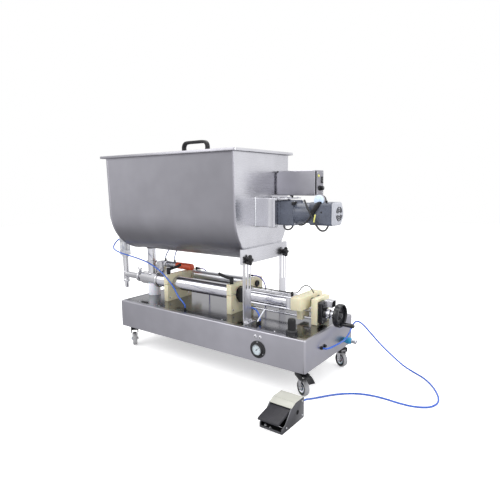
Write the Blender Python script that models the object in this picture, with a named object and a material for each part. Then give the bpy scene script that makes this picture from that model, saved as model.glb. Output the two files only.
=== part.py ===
"""Piston filling machine on casters: a mixing hopper over a horizontal piston filler.

The long side runs along X, from the filling nozzle at -X to the handwheel at +X; +Z is up and
the operator stands at -Y. Every shape is drawn in machine coordinates, whose origin is on the
floor under the middle of the cabinet. The empty called machine moves that frame so that the
middle of the whole machine's footprint comes to the world's origin.
"""
import math

import bmesh
import bpy
from mathutils import Matrix, Vector

mm = 0.001
GAP = 0.3 * mm            # air between two pieces that touch
RUNNING = 0.5 * mm        # radial play of a shaft or rod in its bore

for old in list(bpy.data.objects):
    bpy.data.objects.remove(old, do_unlink=True)


# Driving sizes: the cabinet and its casters
CABINET_LENGTH = 1220 * mm
CABINET_WIDTH = 490 * mm
CABINET_HEIGHT = 150 * mm
CABINET_BOTTOM = 115 * mm
SHEET = 3 * mm
RIM_FRONT = 28 * mm
RIM_END = 12 * mm
DECK_RECESS = 2 * mm
CORNER_RADIUS = 10 * mm
SKIRT_LIP = 30 * mm

END_X = CABINET_LENGTH / 2
SIDE_Y = CABINET_WIDTH / 2
CASTER_X = END_X - 50 * mm
CASTER_Y = SIDE_Y - 50 * mm
PAD_LENGTH = 78 * mm
PAD_WIDTH = 60 * mm
PAD_THICK = 3 * mm
WHEEL_RADIUS = 37.5 * mm
WHEEL_WIDTH = 24 * mm
CASTER_TRAIL = 24 * mm
AXLE_RADIUS = 5 * mm
FORK_SHEET = 3.5 * mm
SWIVEL_RADIUS = 23 * mm
SWIVEL_HEIGHT = 11 * mm

DECK = CABINET_BOTTOM + CABINET_HEIGHT - DECK_RECESS
CABINET_TOP = CABINET_BOTTOM + CABINET_HEIGHT

# The product line: valve, material cylinder and piston share one axis along X
LINE_Y = -30 * mm
LINE_Z = DECK + 97 * mm
TUBE_RADIUS = 38.5 * mm
TUBE_WALL = 2.5 * mm
TUBE_SIDES = 28           # facets of everything that nests in or on the tube
JOINT_X = -509 * mm       # face where the valve meets the material cylinder
PISTON_STROKE = 200 * mm
PISTON_LENGTH = 40 * mm
PISTON_X = -330 * mm      # left face of the piston at rest
ROD_RADIUS = 9 * mm

# The two clamp plates, notched at the back
PLATE_THICK = 30 * mm
LEFT_PLATE_X = -390 * mm
MIDDLE_PLATE_X = 73 * mm
PLATE_FRONT = -107 * mm
PLATE_BACK = 174 * mm
PLATE_FOOT_BACK = 88 * mm
PLATE_NOTCH = 80 * mm     # height of the notch under the back of a plate
PLATE_HEIGHT = 154 * mm
SLIT = 3 * mm
LEVER_Y = PLATE_FRONT + 24 * mm
LEVER_LENGTH = 78 * mm

# Air cylinder of the valve, behind the material cylinder
SIDE_CYL_Y = 117 * mm
SIDE_CYL_Z = DECK + 123 * mm
SIDE_CYL_RADIUS = 30 * mm
SPIGOT_RADIUS = 17 * mm

# Main air cylinder with four tie rods
CAP_SIDE = 76 * mm
CAP_THICK = 30 * mm
GLAND_THICK = 14 * mm
GLAND_RADIUS = 39 * mm
BARREL_RADIUS = 32 * mm
BARREL_WALL = 4 * mm
BARREL_LENGTH = 254 * mm
TIE_RADIUS = 5.5 * mm
TIE_OFFSET = 27 * mm

# Stroke stop: crosshead, guide rod, lead screw, end plate, counter and handwheel
CROSS_THICK = 55 * mm
CROSS_FRONT = -70 * mm
CROSS_BACK = 150 * mm
CROSS_HEIGHT = 60 * mm
NUT_THICK = 30 * mm
NUT_FRONT = -24 * mm
NUT_BACK = 46 * mm
NUT_DROP = 54 * mm
GUIDE_RADIUS = 7 * mm
GUIDE_Y = -6 * mm
GUIDE_Z = DECK + 27 * mm
SCREW_RADIUS = 8 * mm
SCREW_Y = 12 * mm
SCREW_Z = DECK + 57 * mm
END_PLATE_GAP = 32 * mm   # from the crosshead to the end plate, at rest
END_PLATE_THICK = 30 * mm
END_PLATE_FRONT = -26 * mm
END_PLATE_BACK = 104 * mm
END_PLATE_HEIGHT = 125 * mm
COUNTER_THICK = 23 * mm
COUNTER_WIDTH = 60 * mm
COUNTER_HEIGHT = 104 * mm
COLLAR_RADIUS = 25 * mm
COLLAR_LENGTH = 47 * mm
HANDWHEEL_RADIUS = 55 * mm
HANDWHEEL_RIM = 28 * mm
GRIP_LENGTH = 66 * mm
GRIP_RADIUS = 10 * mm
GRIP_ORBIT = 37 * mm

# Valve, outlet and nozzle
VALVE_RADIUS = 38 * mm
VALVE_LEFT = -652 * mm
NECK_X = -572 * mm
NECK_RADIUS = 24 * mm
NECK_WALL = 3 * mm
FERRULE = 8 * mm          # how far a clamp ferrule stands out from its pipe
FERRULE_THICK = 6 * mm
ROTOR_RADIUS = 25.5 * mm
BOSS_WALL = 7 * mm
STEM_RADIUS = 8 * mm
OUTLET_RADIUS = 19 * mm
OUTLET_JOINT_X = -685 * mm
NOZZLE_X = -820 * mm
NOZZLE_RADIUS = 17 * mm
NOZZLE_TOP = 486 * mm
NOZZLE_TIP = 274 * mm
NOZZLE_BLOCK = 50 * mm
NOZZLE_BLOCK_HEIGHT = 114 * mm
NOZZLE_PIN_RADIUS = 7 * mm
NOZZLE_STROKE = 22 * mm
POST_X = -558 * mm
POST_RADIUS = 36 * mm
ACTUATOR_Y = 72 * mm
ACTUATOR_RADIUS = 20 * mm
ACTUATOR_JOINT = -458 * mm
ACTUATOR_RIGHT = -334 * mm

# Hopper, lid and stirrer
HOPPER_LEFT = -691 * mm
HOPPER_RIGHT = 232 * mm
TROUGH_RADIUS = 226 * mm
TROUGH_AXIS_Z = 772 * mm
HOPPER_TOP = 1084 * mm
HOPPER_MOUTH = 233 * mm   # half of the width at the top
END_BAND = 12 * mm
BAND_PROUD = 4 * mm
RIM_FLANGE = 12 * mm
LID_OVERHANG = 20 * mm
LID_DEPTH = 13 * mm
HANDLE_SPAN = 190 * mm
HANDLE_HEIGHT = 74 * mm
SHAFT_RADIUS = 11 * mm
SHAFT_Z = 789 * mm
RIBBON_RADIUS = 185 * mm
RIBBON_WIDTH = 26 * mm
RIBBON_TURNS = 1.5

# Bracket, slotted legs and their knobs
BRACKET_HALF = 198 * mm
BRACKET_HEIGHT = 72 * mm
BRACKET_TOP = 620 * mm
BRACKET_DEPTH = 15 * mm
LEG_WIDTH = 62 * mm
LEG_SHEET = 4 * mm
LEG_FOOT = 26 * mm
LEG_TOP = 608 * mm
SLOT_WIDTH = 12.4 * mm
SLOT_PITCH = 24 * mm
SLOT_MARGIN = 27 * mm     # from a leg's front edge to its first slot
SLOT_BOTTOM = 422 * mm
LEG_SLOT_Y = {"front": -163 * mm, "rear": 159 * mm}
KNOB_Z = 568 * mm
KNOB_RADIUS = 26 * mm
KNOB_STUD = 5.5 * mm

# Mixer drive and control box
MOUNT_LENGTH = 99 * mm
MOUNT_WIDTH = 140 * mm
MOUNT_HEIGHT = 140 * mm
MOUNT_FLANGE = 14 * mm
GEARBOX_LENGTH = 85 * mm
GEARBOX_WIDTH = 94 * mm
GEARBOX_HEIGHT = 118 * mm
MOTOR_RADIUS = 50 * mm
MOTOR_LENGTH = 86 * mm
MOTOR_TAIL = 123 * mm
FAN_COVER = 12 * mm
CONTROL_LENGTH = 215 * mm
CONTROL_WIDTH = 95 * mm
CONTROL_HEIGHT = 123 * mm
CONTROL_FRONT = 111 * mm
CONTROL_BOTTOM = 866 * mm
CONTROL_SPACER = 8 * mm
ROCKER_TILT = 6           # degrees that the power switch leans while off

# Panel items
GAUGE_X = 365 * mm
GAUGE_Z = 177 * mm
GAUGE_RADIUS = 41 * mm
REGULATOR_X = END_X - 86 * mm
REGULATOR_Y = -SIDE_Y + 34 * mm
REGULATOR_NUT = 27 * mm
INLET_Y = 150 * mm
INLET_Z = 157 * mm
TUBE_END_X = -157 * mm    # deck fitting of the front air tube
TUBE_END_Y = -SIDE_Y + 67 * mm

# Foot pedal on its hose
PEDAL_X = 624 * mm
PEDAL_WIDTH = 104 * mm
PEDAL_FRONT = -531 * mm
PEDAL_BACK = -367 * mm
PEDAL_HEIGHT = 88 * mm
CHEEK = 6 * mm
TREADLE_PIVOT_Y = -446 * mm
TREADLE_PIVOT_Z = 66 * mm
TREADLE_FRONT = -552 * mm

HOSE_RADIUS = 4 * mm
AIR_TUBE_RADIUS = 4 * mm


# Shapes: each helper returns vertices and faces of one closed shell
def on_axis(axis, along, u, v):
    return {"x": (along, u, v), "y": (u, along, v), "z": (u, v, along)}[axis]


def prism(axis, outline, start, end):
    """The outline, in the plane across the axis, drawn from start to end."""
    count = len(outline)
    verts = [on_axis(axis, a, u, v) for a in (start, end) for u, v in outline]
    faces = [tuple(range(count)), tuple(range(count, 2 * count))]
    faces += [(i, (i + 1) % count, (i + 1) % count + count, i + count) for i in range(count)]
    return verts, faces


def box(x0, x1, y0, y1, z0, z1):
    return prism("z", [(x0, y0), (x1, y0), (x1, y1), (x0, y1)], z0, z1)


def arc(u, v, radius, start, end, steps):
    """Points on a circle from one angle to another, both in degrees."""
    angles = [math.radians(start + (end - start) * i / steps) for i in range(steps + 1)]
    return [(u + radius * math.cos(a), v + radius * math.sin(a)) for a in angles]


def circle(u, v, radius, sides=24):
    return arc(u, v, radius, 0, 360 - 360 / sides, sides - 1)


def rounded(u0, u1, v0, v1, radius, steps=4):
    radius = min(radius, 0.49 * (u1 - u0), 0.49 * (v1 - v0))
    return (arc(u1 - radius, v1 - radius, radius, 0, 90, steps)
            + arc(u0 + radius, v1 - radius, radius, 90, 180, steps)
            + arc(u0 + radius, v0 + radius, radius, 180, 270, steps)
            + arc(u1 - radius, v0 + radius, radius, 270, 360, steps))


def slot_outline(u, v0, v1, width, steps=6):
    half = width / 2
    return arc(u, v1 - half, half, 0, 180, steps) + arc(u, v0 + half, half, 180, 360, steps)


def lobes(u, v, inner, outer, count, steps=6):
    """A star outline whose lobes are round."""
    total = count * steps
    points = []
    for i in range(total):
        angle = 2 * math.pi * i / total
        wave = 0.5 + 0.5 * math.cos(count * angle)
        radius = inner + (outer - inner) * wave ** 0.6
        points.append((u + radius * math.cos(angle), v + radius * math.sin(angle)))
    return points


def cylinder(axis, u, v, radius, start, end, sides=24):
    return prism(axis, circle(u, v, radius, sides), start, end)


def turned(axis, u, v, profile, sides=24):
    """A profile of (along, radius) pairs turned about the axis.

    A profile that starts and ends on the axis gives a solid, any other is closed into a ring.
    """
    solid = profile[0][1] == 0 and profile[-1][1] == 0
    rings = profile[1:-1] if solid else profile
    verts = []
    for along, radius in rings:
        for i in range(sides):
            angle = 2 * math.pi * i / sides
            verts.append(on_axis(axis, along, u + radius * math.cos(angle),
                                 v + radius * math.sin(angle)))
    faces = []
    joints = range(len(rings) - 1) if solid else range(len(rings))
    for ring in joints:
        other = (ring + 1) % len(rings)
        for i in range(sides):
            k = (i + 1) % sides
            faces.append((ring * sides + i, ring * sides + k, other * sides + k, other * sides + i))
    if solid:
        for along, first in ((profile[0][0], 0), (profile[-1][0], (len(rings) - 1) * sides)):
            verts.append(on_axis(axis, along, u, v))
            pole = len(verts) - 1
            faces += [(first + i, first + (i + 1) % sides, pole) for i in range(sides)]
    return verts, faces


def mesh_from(shape, name, origin):
    """A Blender mesh of the shape, its vertices measured from the origin."""
    verts, faces = shape
    bm = bmesh.new()
    made = [bm.verts.new(Vector(v) - origin) for v in verts]
    for face in faces:
        bm.faces.new([made[i] for i in face])
    bmesh.ops.recalc_face_normals(bm, faces=bm.faces)
    mesh = bpy.data.meshes.new(name)
    bm.to_mesh(mesh)
    bm.free()
    mesh.shade_smooth()
    mesh.set_sharp_from_angle(angle=math.radians(32))
    return mesh


ORIGINS = {}
MATERIALS = {}


def material(name, color, roughness, metallic=0.0):
    made = bpy.data.materials.new(name)
    made.use_nodes = True
    shader = made.node_tree.nodes["Principled BSDF"]
    shader.inputs["Base Color"].default_value = (*color, 1.0)
    shader.inputs["Roughness"].default_value = roughness
    shader.inputs["Metallic"].default_value = metallic
    made.diffuse_color = (*color, 1.0)
    MATERIALS[name] = made


material("stainless", (0.62, 0.62, 0.64), 0.3, 1.0)
material("brushed_steel", (0.58, 0.58, 0.60), 0.42, 1.0)
material("polished_steel", (0.75, 0.75, 0.77), 0.14, 1.0)
material("aluminium", (0.66, 0.67, 0.69), 0.4, 1.0)
material("cream", (0.80, 0.76, 0.58), 0.5)
material("white_nylon", (0.85, 0.86, 0.90), 0.45)
material("black_plastic", (0.03, 0.03, 0.035), 0.42)
material("grey_paint", (0.30, 0.31, 0.35), 0.45)
material("blue_tube", (0.10, 0.22, 0.62), 0.35)
material("blue_brass", (0.05, 0.32, 0.55), 0.4)
material("red_anodised", (0.62, 0.13, 0.06), 0.4)
material("light_grey", (0.62, 0.63, 0.65), 0.45)


def place(name, shape, at, turn, parent):
    mesh = mesh_from(shape, name, at)
    made = bpy.data.objects.new(name, mesh)
    bpy.context.scene.collection.objects.link(made)
    made.parent = parent
    made.location = at - ORIGINS[parent.name]
    made.rotation_euler = (0.0, 0.0, turn)
    return made


def piece(name, finish, solids, cuts=(), at=(0, 0, 0), turn=0.0, parent=None):
    """One closed body: its solids joined together, then its cuts taken away.

    Everything is given in machine coordinates. The object's origin is at the point at, and
    turn swings it about the upright line through that point.
    """
    at = Vector(at)
    parent = parent or machine
    made = place(name, solids[0], at, turn, parent)
    made.data.materials.append(MATERIALS[finish])
    ORIGINS[name] = at
    for kind, shapes in (("UNION", solids[1:]), ("DIFFERENCE", cuts)):
        for number, shape in enumerate(shapes):
            helper = place(f"{name}_{kind.lower()}_{number}", shape, at, turn, parent)
            helper.hide_render = True
            helper.display_type = "WIRE"
            change = made.modifiers.new(helper.name, "BOOLEAN")
            change.operation = kind
            change.solver = "EXACT"
            change.object = helper
    return made


# Pieces whose ends set the size of the whole machine
CROSS_X = (MIDDLE_PLATE_X + PLATE_THICK + GAP + GLAND_THICK + CAP_THICK + GAP + BARREL_LENGTH
           + GAP + CAP_THICK + GAP)
END_PLATE_X = CROSS_X + CROSS_THICK + END_PLATE_GAP
COUNTER_X = END_PLATE_X + END_PLATE_THICK + GAP
COLLAR_END = COUNTER_X + COUNTER_THICK + COLLAR_LENGTH
WHEEL_X = COLLAR_END + GAP + 14 * mm
GRIP_X = WHEEL_X + HANDWHEEL_RIM + GAP
FITTING = 12 * mm
LEFTMOST = NOZZLE_X - NOZZLE_BLOCK / 2 - FITTING
RIGHTMOST = GRIP_X + GRIP_LENGTH
FRONTMOST = TREADLE_FRONT
BACKMOST = HOPPER_MOUTH + LID_OVERHANG

machine = bpy.data.objects.new("machine", None)
bpy.context.scene.collection.objects.link(machine)
machine.location = (-(LEFTMOST + RIGHTMOST) / 2, -(FRONTMOST + BACKMOST) / 2, 0)
ORIGINS["machine"] = Vector((0, 0, 0))


# Cabinet: a folded sheet box, open below, with the caster pads and the fixed fittings on it
def cabinet():
    inner_x, inner_y = END_X - SHEET, SIDE_Y - SHEET
    solids = [prism("z", rounded(-END_X, END_X, -SIDE_Y, SIDE_Y, CORNER_RADIUS, 4),
                    CABINET_BOTTOM, CABINET_TOP)]
    for sx in (-1, 1):
        for sy in (-1, 1):
            solids.append(prism("z", rounded(sx * CASTER_X - PAD_LENGTH / 2,
                                             sx * CASTER_X + PAD_LENGTH / 2,
                                             sy * CASTER_Y - PAD_WIDTH / 2,
                                             sy * CASTER_Y + PAD_WIDTH / 2, 6 * mm, 2),
                                CABINET_BOTTOM - PAD_THICK, CABINET_BOTTOM + SHEET))
    solids.append(turned("z", REGULATOR_X, REGULATOR_Y,
                         [(DECK - SHEET / 2, 0), (DECK - SHEET / 2, REGULATOR_NUT),
                          (DECK + 24 * mm, REGULATOR_NUT), (DECK + 30 * mm, REGULATOR_NUT - 6 * mm),
                          (DECK + 30 * mm, 0)], 16))
    solids.append(cylinder("z", TUBE_END_X, TUBE_END_Y, 7 * mm, DECK - SHEET / 2, DECK + 12 * mm, 12))
    for y in (-95 * mm, -63 * mm):
        solids.append(cylinder("x", y, 190 * mm, 7 * mm, END_X - SHEET / 2, END_X + 9 * mm, 12))
    for x in (-13.5 * mm, 13.5 * mm):
        solids.append(turned("y", GAUGE_X + x, GAUGE_Z + 58 * mm,
                             [(-SIDE_Y + SHEET / 2, 0), (-SIDE_Y + SHEET / 2, 6 * mm),
                              (-SIDE_Y - 1 * mm, 6 * mm), (-SIDE_Y - 3 * mm, 3 * mm),
                              (-SIDE_Y - 3 * mm, 0)], 10))
    corner_x = CASTER_X - PAD_LENGTH / 2 - 15 * mm
    corner_y = CASTER_Y - PAD_WIDTH / 2 - 4 * mm
    cuts = [
        prism("z", rounded(-END_X + RIM_END, END_X - RIM_END, -SIDE_Y + RIM_FRONT,
                           SIDE_Y - RIM_FRONT, 6 * mm, 2), DECK, CABINET_TOP + 10 * mm),
        box(-inner_x, inner_x, -inner_y, inner_y, CABINET_BOTTOM + SHEET, DECK - SHEET),
        box(-corner_x, corner_x, -SIDE_Y + SKIRT_LIP, SIDE_Y - SKIRT_LIP,
            CABINET_BOTTOM - 20 * mm, CABINET_BOTTOM + SHEET * 1.5),
        box(-END_X + SKIRT_LIP, END_X - SKIRT_LIP, -corner_y, corner_y,
            CABINET_BOTTOM - 20 * mm, CABINET_BOTTOM + SHEET * 1.5),
    ]
    return piece("base_cabinet", "stainless", solids, cuts)


# Casters: a swivelling fork with its wheel; the front right one has a brake pedal
CASTERS = {"front_left": (-1, -1, 142), "front_right": (1, -1, 151),
           "rear_left": (-1, 1, 35), "rear_right": (1, 1, 155)}


def caster(place_name, side_x, side_y, yaw):
    px, py = side_x * CASTER_X, side_y * CASTER_Y
    turn = math.radians(yaw)
    pad_face = CABINET_BOTTOM - PAD_THICK
    crown_top = pad_face - GAP - SWIVEL_HEIGHT
    crown = crown_top - 8 * mm
    axle_x = px - CASTER_TRAIL
    cheek_in = WHEEL_WIDTH / 2 + 3 * mm
    cheek_out = cheek_in + FORK_SHEET
    back = px - CASTER_TRAIL - 20 * mm
    front = px + 15 * mm
    outline = [(front, crown_top), (front, crown - 6 * mm), (axle_x + 9 * mm, WHEEL_RADIUS - 6 * mm),
               (axle_x - 9 * mm, WHEEL_RADIUS - 6 * mm),
               (back, crown - 8 * mm), (back, crown_top)]
    solids = [box(back, front, py - cheek_out, py + cheek_out, crown, crown_top),
              turned("z", px, py, [(crown + 1 * mm, 0), (crown + 1 * mm, SWIVEL_RADIUS - 3 * mm),
                                   (crown_top + 4 * mm, SWIVEL_RADIUS),
                                   (pad_face - GAP, SWIVEL_RADIUS), (pad_face - GAP, 0)], 14)]
    for side in (-1, 1):
        solids.append(prism("y", outline, *sorted((py + side * cheek_in, py + side * cheek_out))))
    solids.append(cylinder("y", axle_x, WHEEL_RADIUS, AXLE_RADIUS, py - cheek_out - 2 * mm,
                           py + cheek_out + 2 * mm, 8))
    fork = piece(f"caster_fork_{place_name}", "brushed_steel", solids,
                 at=(px, py, pad_face), turn=turn)
    half = WHEEL_WIDTH / 2
    bore = AXLE_RADIUS + RUNNING
    piece(f"caster_wheel_{place_name}", "black_plastic", [turned("y", axle_x, WHEEL_RADIUS, [
        (py - half - 2.4 * mm, bore), (py - half - 2.4 * mm, 11 * mm),
        (py - half, WHEEL_RADIUS - 3 * mm), (py - half + 3 * mm, WHEEL_RADIUS),
        (py + half - 3 * mm, WHEEL_RADIUS), (py + half, WHEEL_RADIUS - 3 * mm),
        (py + half + 2.4 * mm, 11 * mm), (py + half + 2.4 * mm, bore)], 20)],
        at=(axle_x, py, WHEEL_RADIUS), parent=fork)
    if place_name == "front_right":
        knuckle = 5 * mm
        hinge_x, hinge_z = back - knuckle - GAP, crown_top - 2 * mm
        lever = arc(hinge_x, hinge_z, knuckle, -80, 100, 5)
        lever += [(hinge_x - 29 * mm, hinge_z - 1 * mm), (hinge_x - 47 * mm, hinge_z - 14 * mm),
                  (hinge_x - 45 * mm, hinge_z - 19 * mm), (hinge_x - 27 * mm, hinge_z - 8 * mm)]
        piece("brake_pedal", "black_plastic",
              [prism("y", lever, py - 15 * mm, py + 15 * mm)],
              at=(hinge_x, py, hinge_z), parent=fork)


# Clamp plates with their slits and ratchet levers
def clamp_plate(name, x0, round_back):
    x1 = x0 + PLATE_THICK
    top = DECK + PLATE_HEIGHT
    shoulder = DECK + PLATE_NOTCH
    foot = DECK + GAP
    outline = [(PLATE_FRONT, foot), (PLATE_FOOT_BACK, foot), (PLATE_FOOT_BACK, shoulder - 8 * mm)]
    outline += arc(PLATE_FOOT_BACK + 8 * mm, shoulder - 8 * mm, 8 * mm, 180, 90, 4)[1:]
    outline += [(PLATE_BACK, shoulder)] + arc(PLATE_BACK - 6 * mm, top - 6 * mm, 6 * mm, 0, 90, 3)
    outline += arc(PLATE_FRONT + 4 * mm, top - 4 * mm, 4 * mm, 90, 180, 3)
    cuts = [cylinder("x", LINE_Y, LINE_Z, TUBE_RADIUS + GAP, x0 - 5 * mm, x1 + 5 * mm, TUBE_SIDES),
            box(x0 - 5 * mm, x1 + 5 * mm, PLATE_FRONT - 5 * mm, LINE_Y - TUBE_RADIUS / 2,
                LINE_Z - SLIT / 2, LINE_Z + SLIT / 2)]
    if round_back:
        cuts.append(cylinder("x", SIDE_CYL_Y, SIDE_CYL_Z, SPIGOT_RADIUS + RUNNING,
                             x0 - 5 * mm, x1 + 5 * mm, 24))
    piece(name, "cream", [prism("x", outline, x0, x1)], cuts)


def clamp_lever(name, x, yaw):
    base = DECK + PLATE_HEIGHT + GAP
    hub = [(base, 0), (base, 10 * mm), (base + 20 * mm, 9 * mm), (base + 34 * mm, 8 * mm),
           (base + 37 * mm, 5 * mm), (base + 37 * mm, 0)]
    arm = [(x, base + 22 * mm), (x + 16 * mm, base + 26 * mm),
           (x + LEVER_LENGTH - 6 * mm, base + 40 * mm), (x + LEVER_LENGTH, base + 46 * mm),
           (x + LEVER_LENGTH - 4 * mm, base + 52 * mm), (x + 12 * mm, base + 36 * mm),
           (x, base + 34 * mm)]
    piece(name, "black_plastic", [turned("z", x, LEVER_Y, hub, 16),
                                  prism("y", arm, LEVER_Y - 5.5 * mm, LEVER_Y + 5.5 * mm)],
          at=(x, LEVER_Y, base), turn=math.radians(yaw))


# Material cylinder, its clamp, the piston and the air cylinders
def product_cylinder():
    flange = TUBE_RADIUS + FERRULE - 4 * mm
    inner = TUBE_RADIUS - TUBE_WALL
    tube_end = MIDDLE_PLATE_X + PLATE_THICK
    piece("material_cylinder", "polished_steel", [turned("x", LINE_Y, LINE_Z, [
        (JOINT_X, inner), (JOINT_X, flange), (JOINT_X + FERRULE_THICK, flange),
        (JOINT_X + FERRULE_THICK + 2 * mm, TUBE_RADIUS), (tube_end, TUBE_RADIUS),
        (tube_end, inner)], TUBE_SIDES)])
    ring_half = FERRULE_THICK + 4 * mm
    outer = flange + 4 * mm
    top = LINE_Z + outer
    lug = rounded(JOINT_X - 6 * mm, JOINT_X + 6 * mm, LINE_Z + flange + 1.5 * mm, top + 12 * mm, 3 * mm, 2)
    wings = [(JOINT_X - 5 * mm, top + 10 * mm), (JOINT_X + 5 * mm, top + 10 * mm),
             (JOINT_X + 17 * mm, top + 26 * mm), (JOINT_X + 11 * mm, top + 29 * mm),
             (JOINT_X, top + 20 * mm), (JOINT_X - 11 * mm, top + 29 * mm),
             (JOINT_X - 17 * mm, top + 26 * mm)]
    piece("cylinder_clamp", "stainless", [
        turned("x", LINE_Y, LINE_Z, [
            (JOINT_X - ring_half, TUBE_RADIUS + 1 * mm), (JOINT_X - ring_half, outer),
            (JOINT_X + ring_half, outer), (JOINT_X + ring_half, TUBE_RADIUS + 1 * mm),
            (JOINT_X + ring_half - 1.2 * mm, TUBE_RADIUS + 1 * mm),
            (JOINT_X + FERRULE_THICK + 2 * GAP, flange + GAP),
            (JOINT_X - FERRULE_THICK - 2 * GAP, flange + GAP),
            (JOINT_X - ring_half + 1.2 * mm, TUBE_RADIUS + 1 * mm)], TUBE_SIDES),
        prism("y", lug, LINE_Y - 9 * mm, LINE_Y + 9 * mm),
        prism("y", wings, LINE_Y - 4 * mm, LINE_Y + 4 * mm)])
    head = inner - 0.4 * mm
    rod_end = PISTON_X + PISTON_LENGTH
    air_x = barrel_start() + 12 * mm
    air_head = BARREL_RADIUS - BARREL_WALL - 0.4 * mm
    groove_x = PISTON_X + PISTON_LENGTH / 2
    piece("piston_and_rod", "polished_steel", [turned("x", LINE_Y, LINE_Z, [
        (PISTON_X, 0), (PISTON_X, head - 2 * mm), (PISTON_X + 2 * mm, head),
        (groove_x - 3 * mm, head), (groove_x - 2 * mm, head - 2 * mm),
        (groove_x + 2 * mm, head - 2 * mm), (groove_x + 3 * mm, head),
        (rod_end, head), (rod_end, ROD_RADIUS), (air_x, ROD_RADIUS), (air_x, air_head),
        (air_x + 20 * mm, air_head), (air_x + 20 * mm, 0)], TUBE_SIDES)],
        at=(PISTON_X, LINE_Y, LINE_Z))


def barrel_start():
    return MIDDLE_PLATE_X + PLATE_THICK + GAP + GLAND_THICK + CAP_THICK + GAP


def air_cylinder():
    half = CAP_SIDE / 2
    gland_x = MIDDLE_PLATE_X + PLATE_THICK + GAP
    cap_x = gland_x + GLAND_THICK
    start = barrel_start()
    end = start + BARREL_LENGTH
    inner = BARREL_RADIUS - BARREL_WALL
    square = rounded(LINE_Y - half, LINE_Y + half, LINE_Z - half, LINE_Z + half, 5 * mm, 2)
    piece("front_cap_with_gland", "black_plastic",
          [prism("x", lobes(LINE_Y, LINE_Z, GLAND_RADIUS - 7 * mm, GLAND_RADIUS, 6, 6), gland_x,
                 cap_x + 1 * mm),
           prism("x", square, cap_x, start - GAP)],
          [cylinder("x", LINE_Y, LINE_Z, ROD_RADIUS + RUNNING, gland_x - 5 * mm, start + 5 * mm, 20)])
    piece("air_cylinder_barrel", "polished_steel", [turned("x", LINE_Y, LINE_Z, [
        (start, inner), (start, BARREL_RADIUS), (end, BARREL_RADIUS), (end, inner)], TUBE_SIDES)])
    solids = [prism("x", square, end + GAP, end + GAP + CAP_THICK)]
    for sy in (-1, 1):
        for sz in (-1, 1):
            solids.append(cylinder("x", LINE_Y + sy * TIE_OFFSET, LINE_Z + sz * TIE_OFFSET,
                                   TIE_RADIUS, start, end + GAP + CAP_THICK / 2, 12))
    piece("rear_cap_with_tie_rods", "aluminium", solids)


def side_cylinder():
    left = LEFT_PLATE_X + PLATE_THICK + GAP
    right = MIDDLE_PLATE_X - GAP
    spigot_end = MIDDLE_PLATE_X + PLATE_THICK + 10 * mm
    r = SIDE_CYL_RADIUS
    solids = [turned("x", SIDE_CYL_Y, SIDE_CYL_Z, [
        (left, 0), (left, r), (left + 26 * mm, r), (left + 28 * mm, r - 2 * mm),
        (right - 28 * mm, r - 2 * mm), (right - 26 * mm, r), (right, r), (right, SPIGOT_RADIUS),
        (spigot_end - 2 * mm, SPIGOT_RADIUS), (spigot_end, SPIGOT_RADIUS - 2 * mm),
        (spigot_end, 0)], 24)]
    for x in (left + 18 * mm, right - 14 * mm):
        solids.append(cylinder("z", x, SIDE_CYL_Y, 6 * mm, SIDE_CYL_Z + r - 4 * mm,
                               SIDE_CYL_Z + r + 17 * mm, 8))
        solids.append(cylinder("x", SIDE_CYL_Y, SIDE_CYL_Z + r + 10 * mm, 5 * mm,
                               x - 3 * mm, x + 22 * mm, 8))
    piece("side_air_cylinder", "aluminium", solids)


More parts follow.
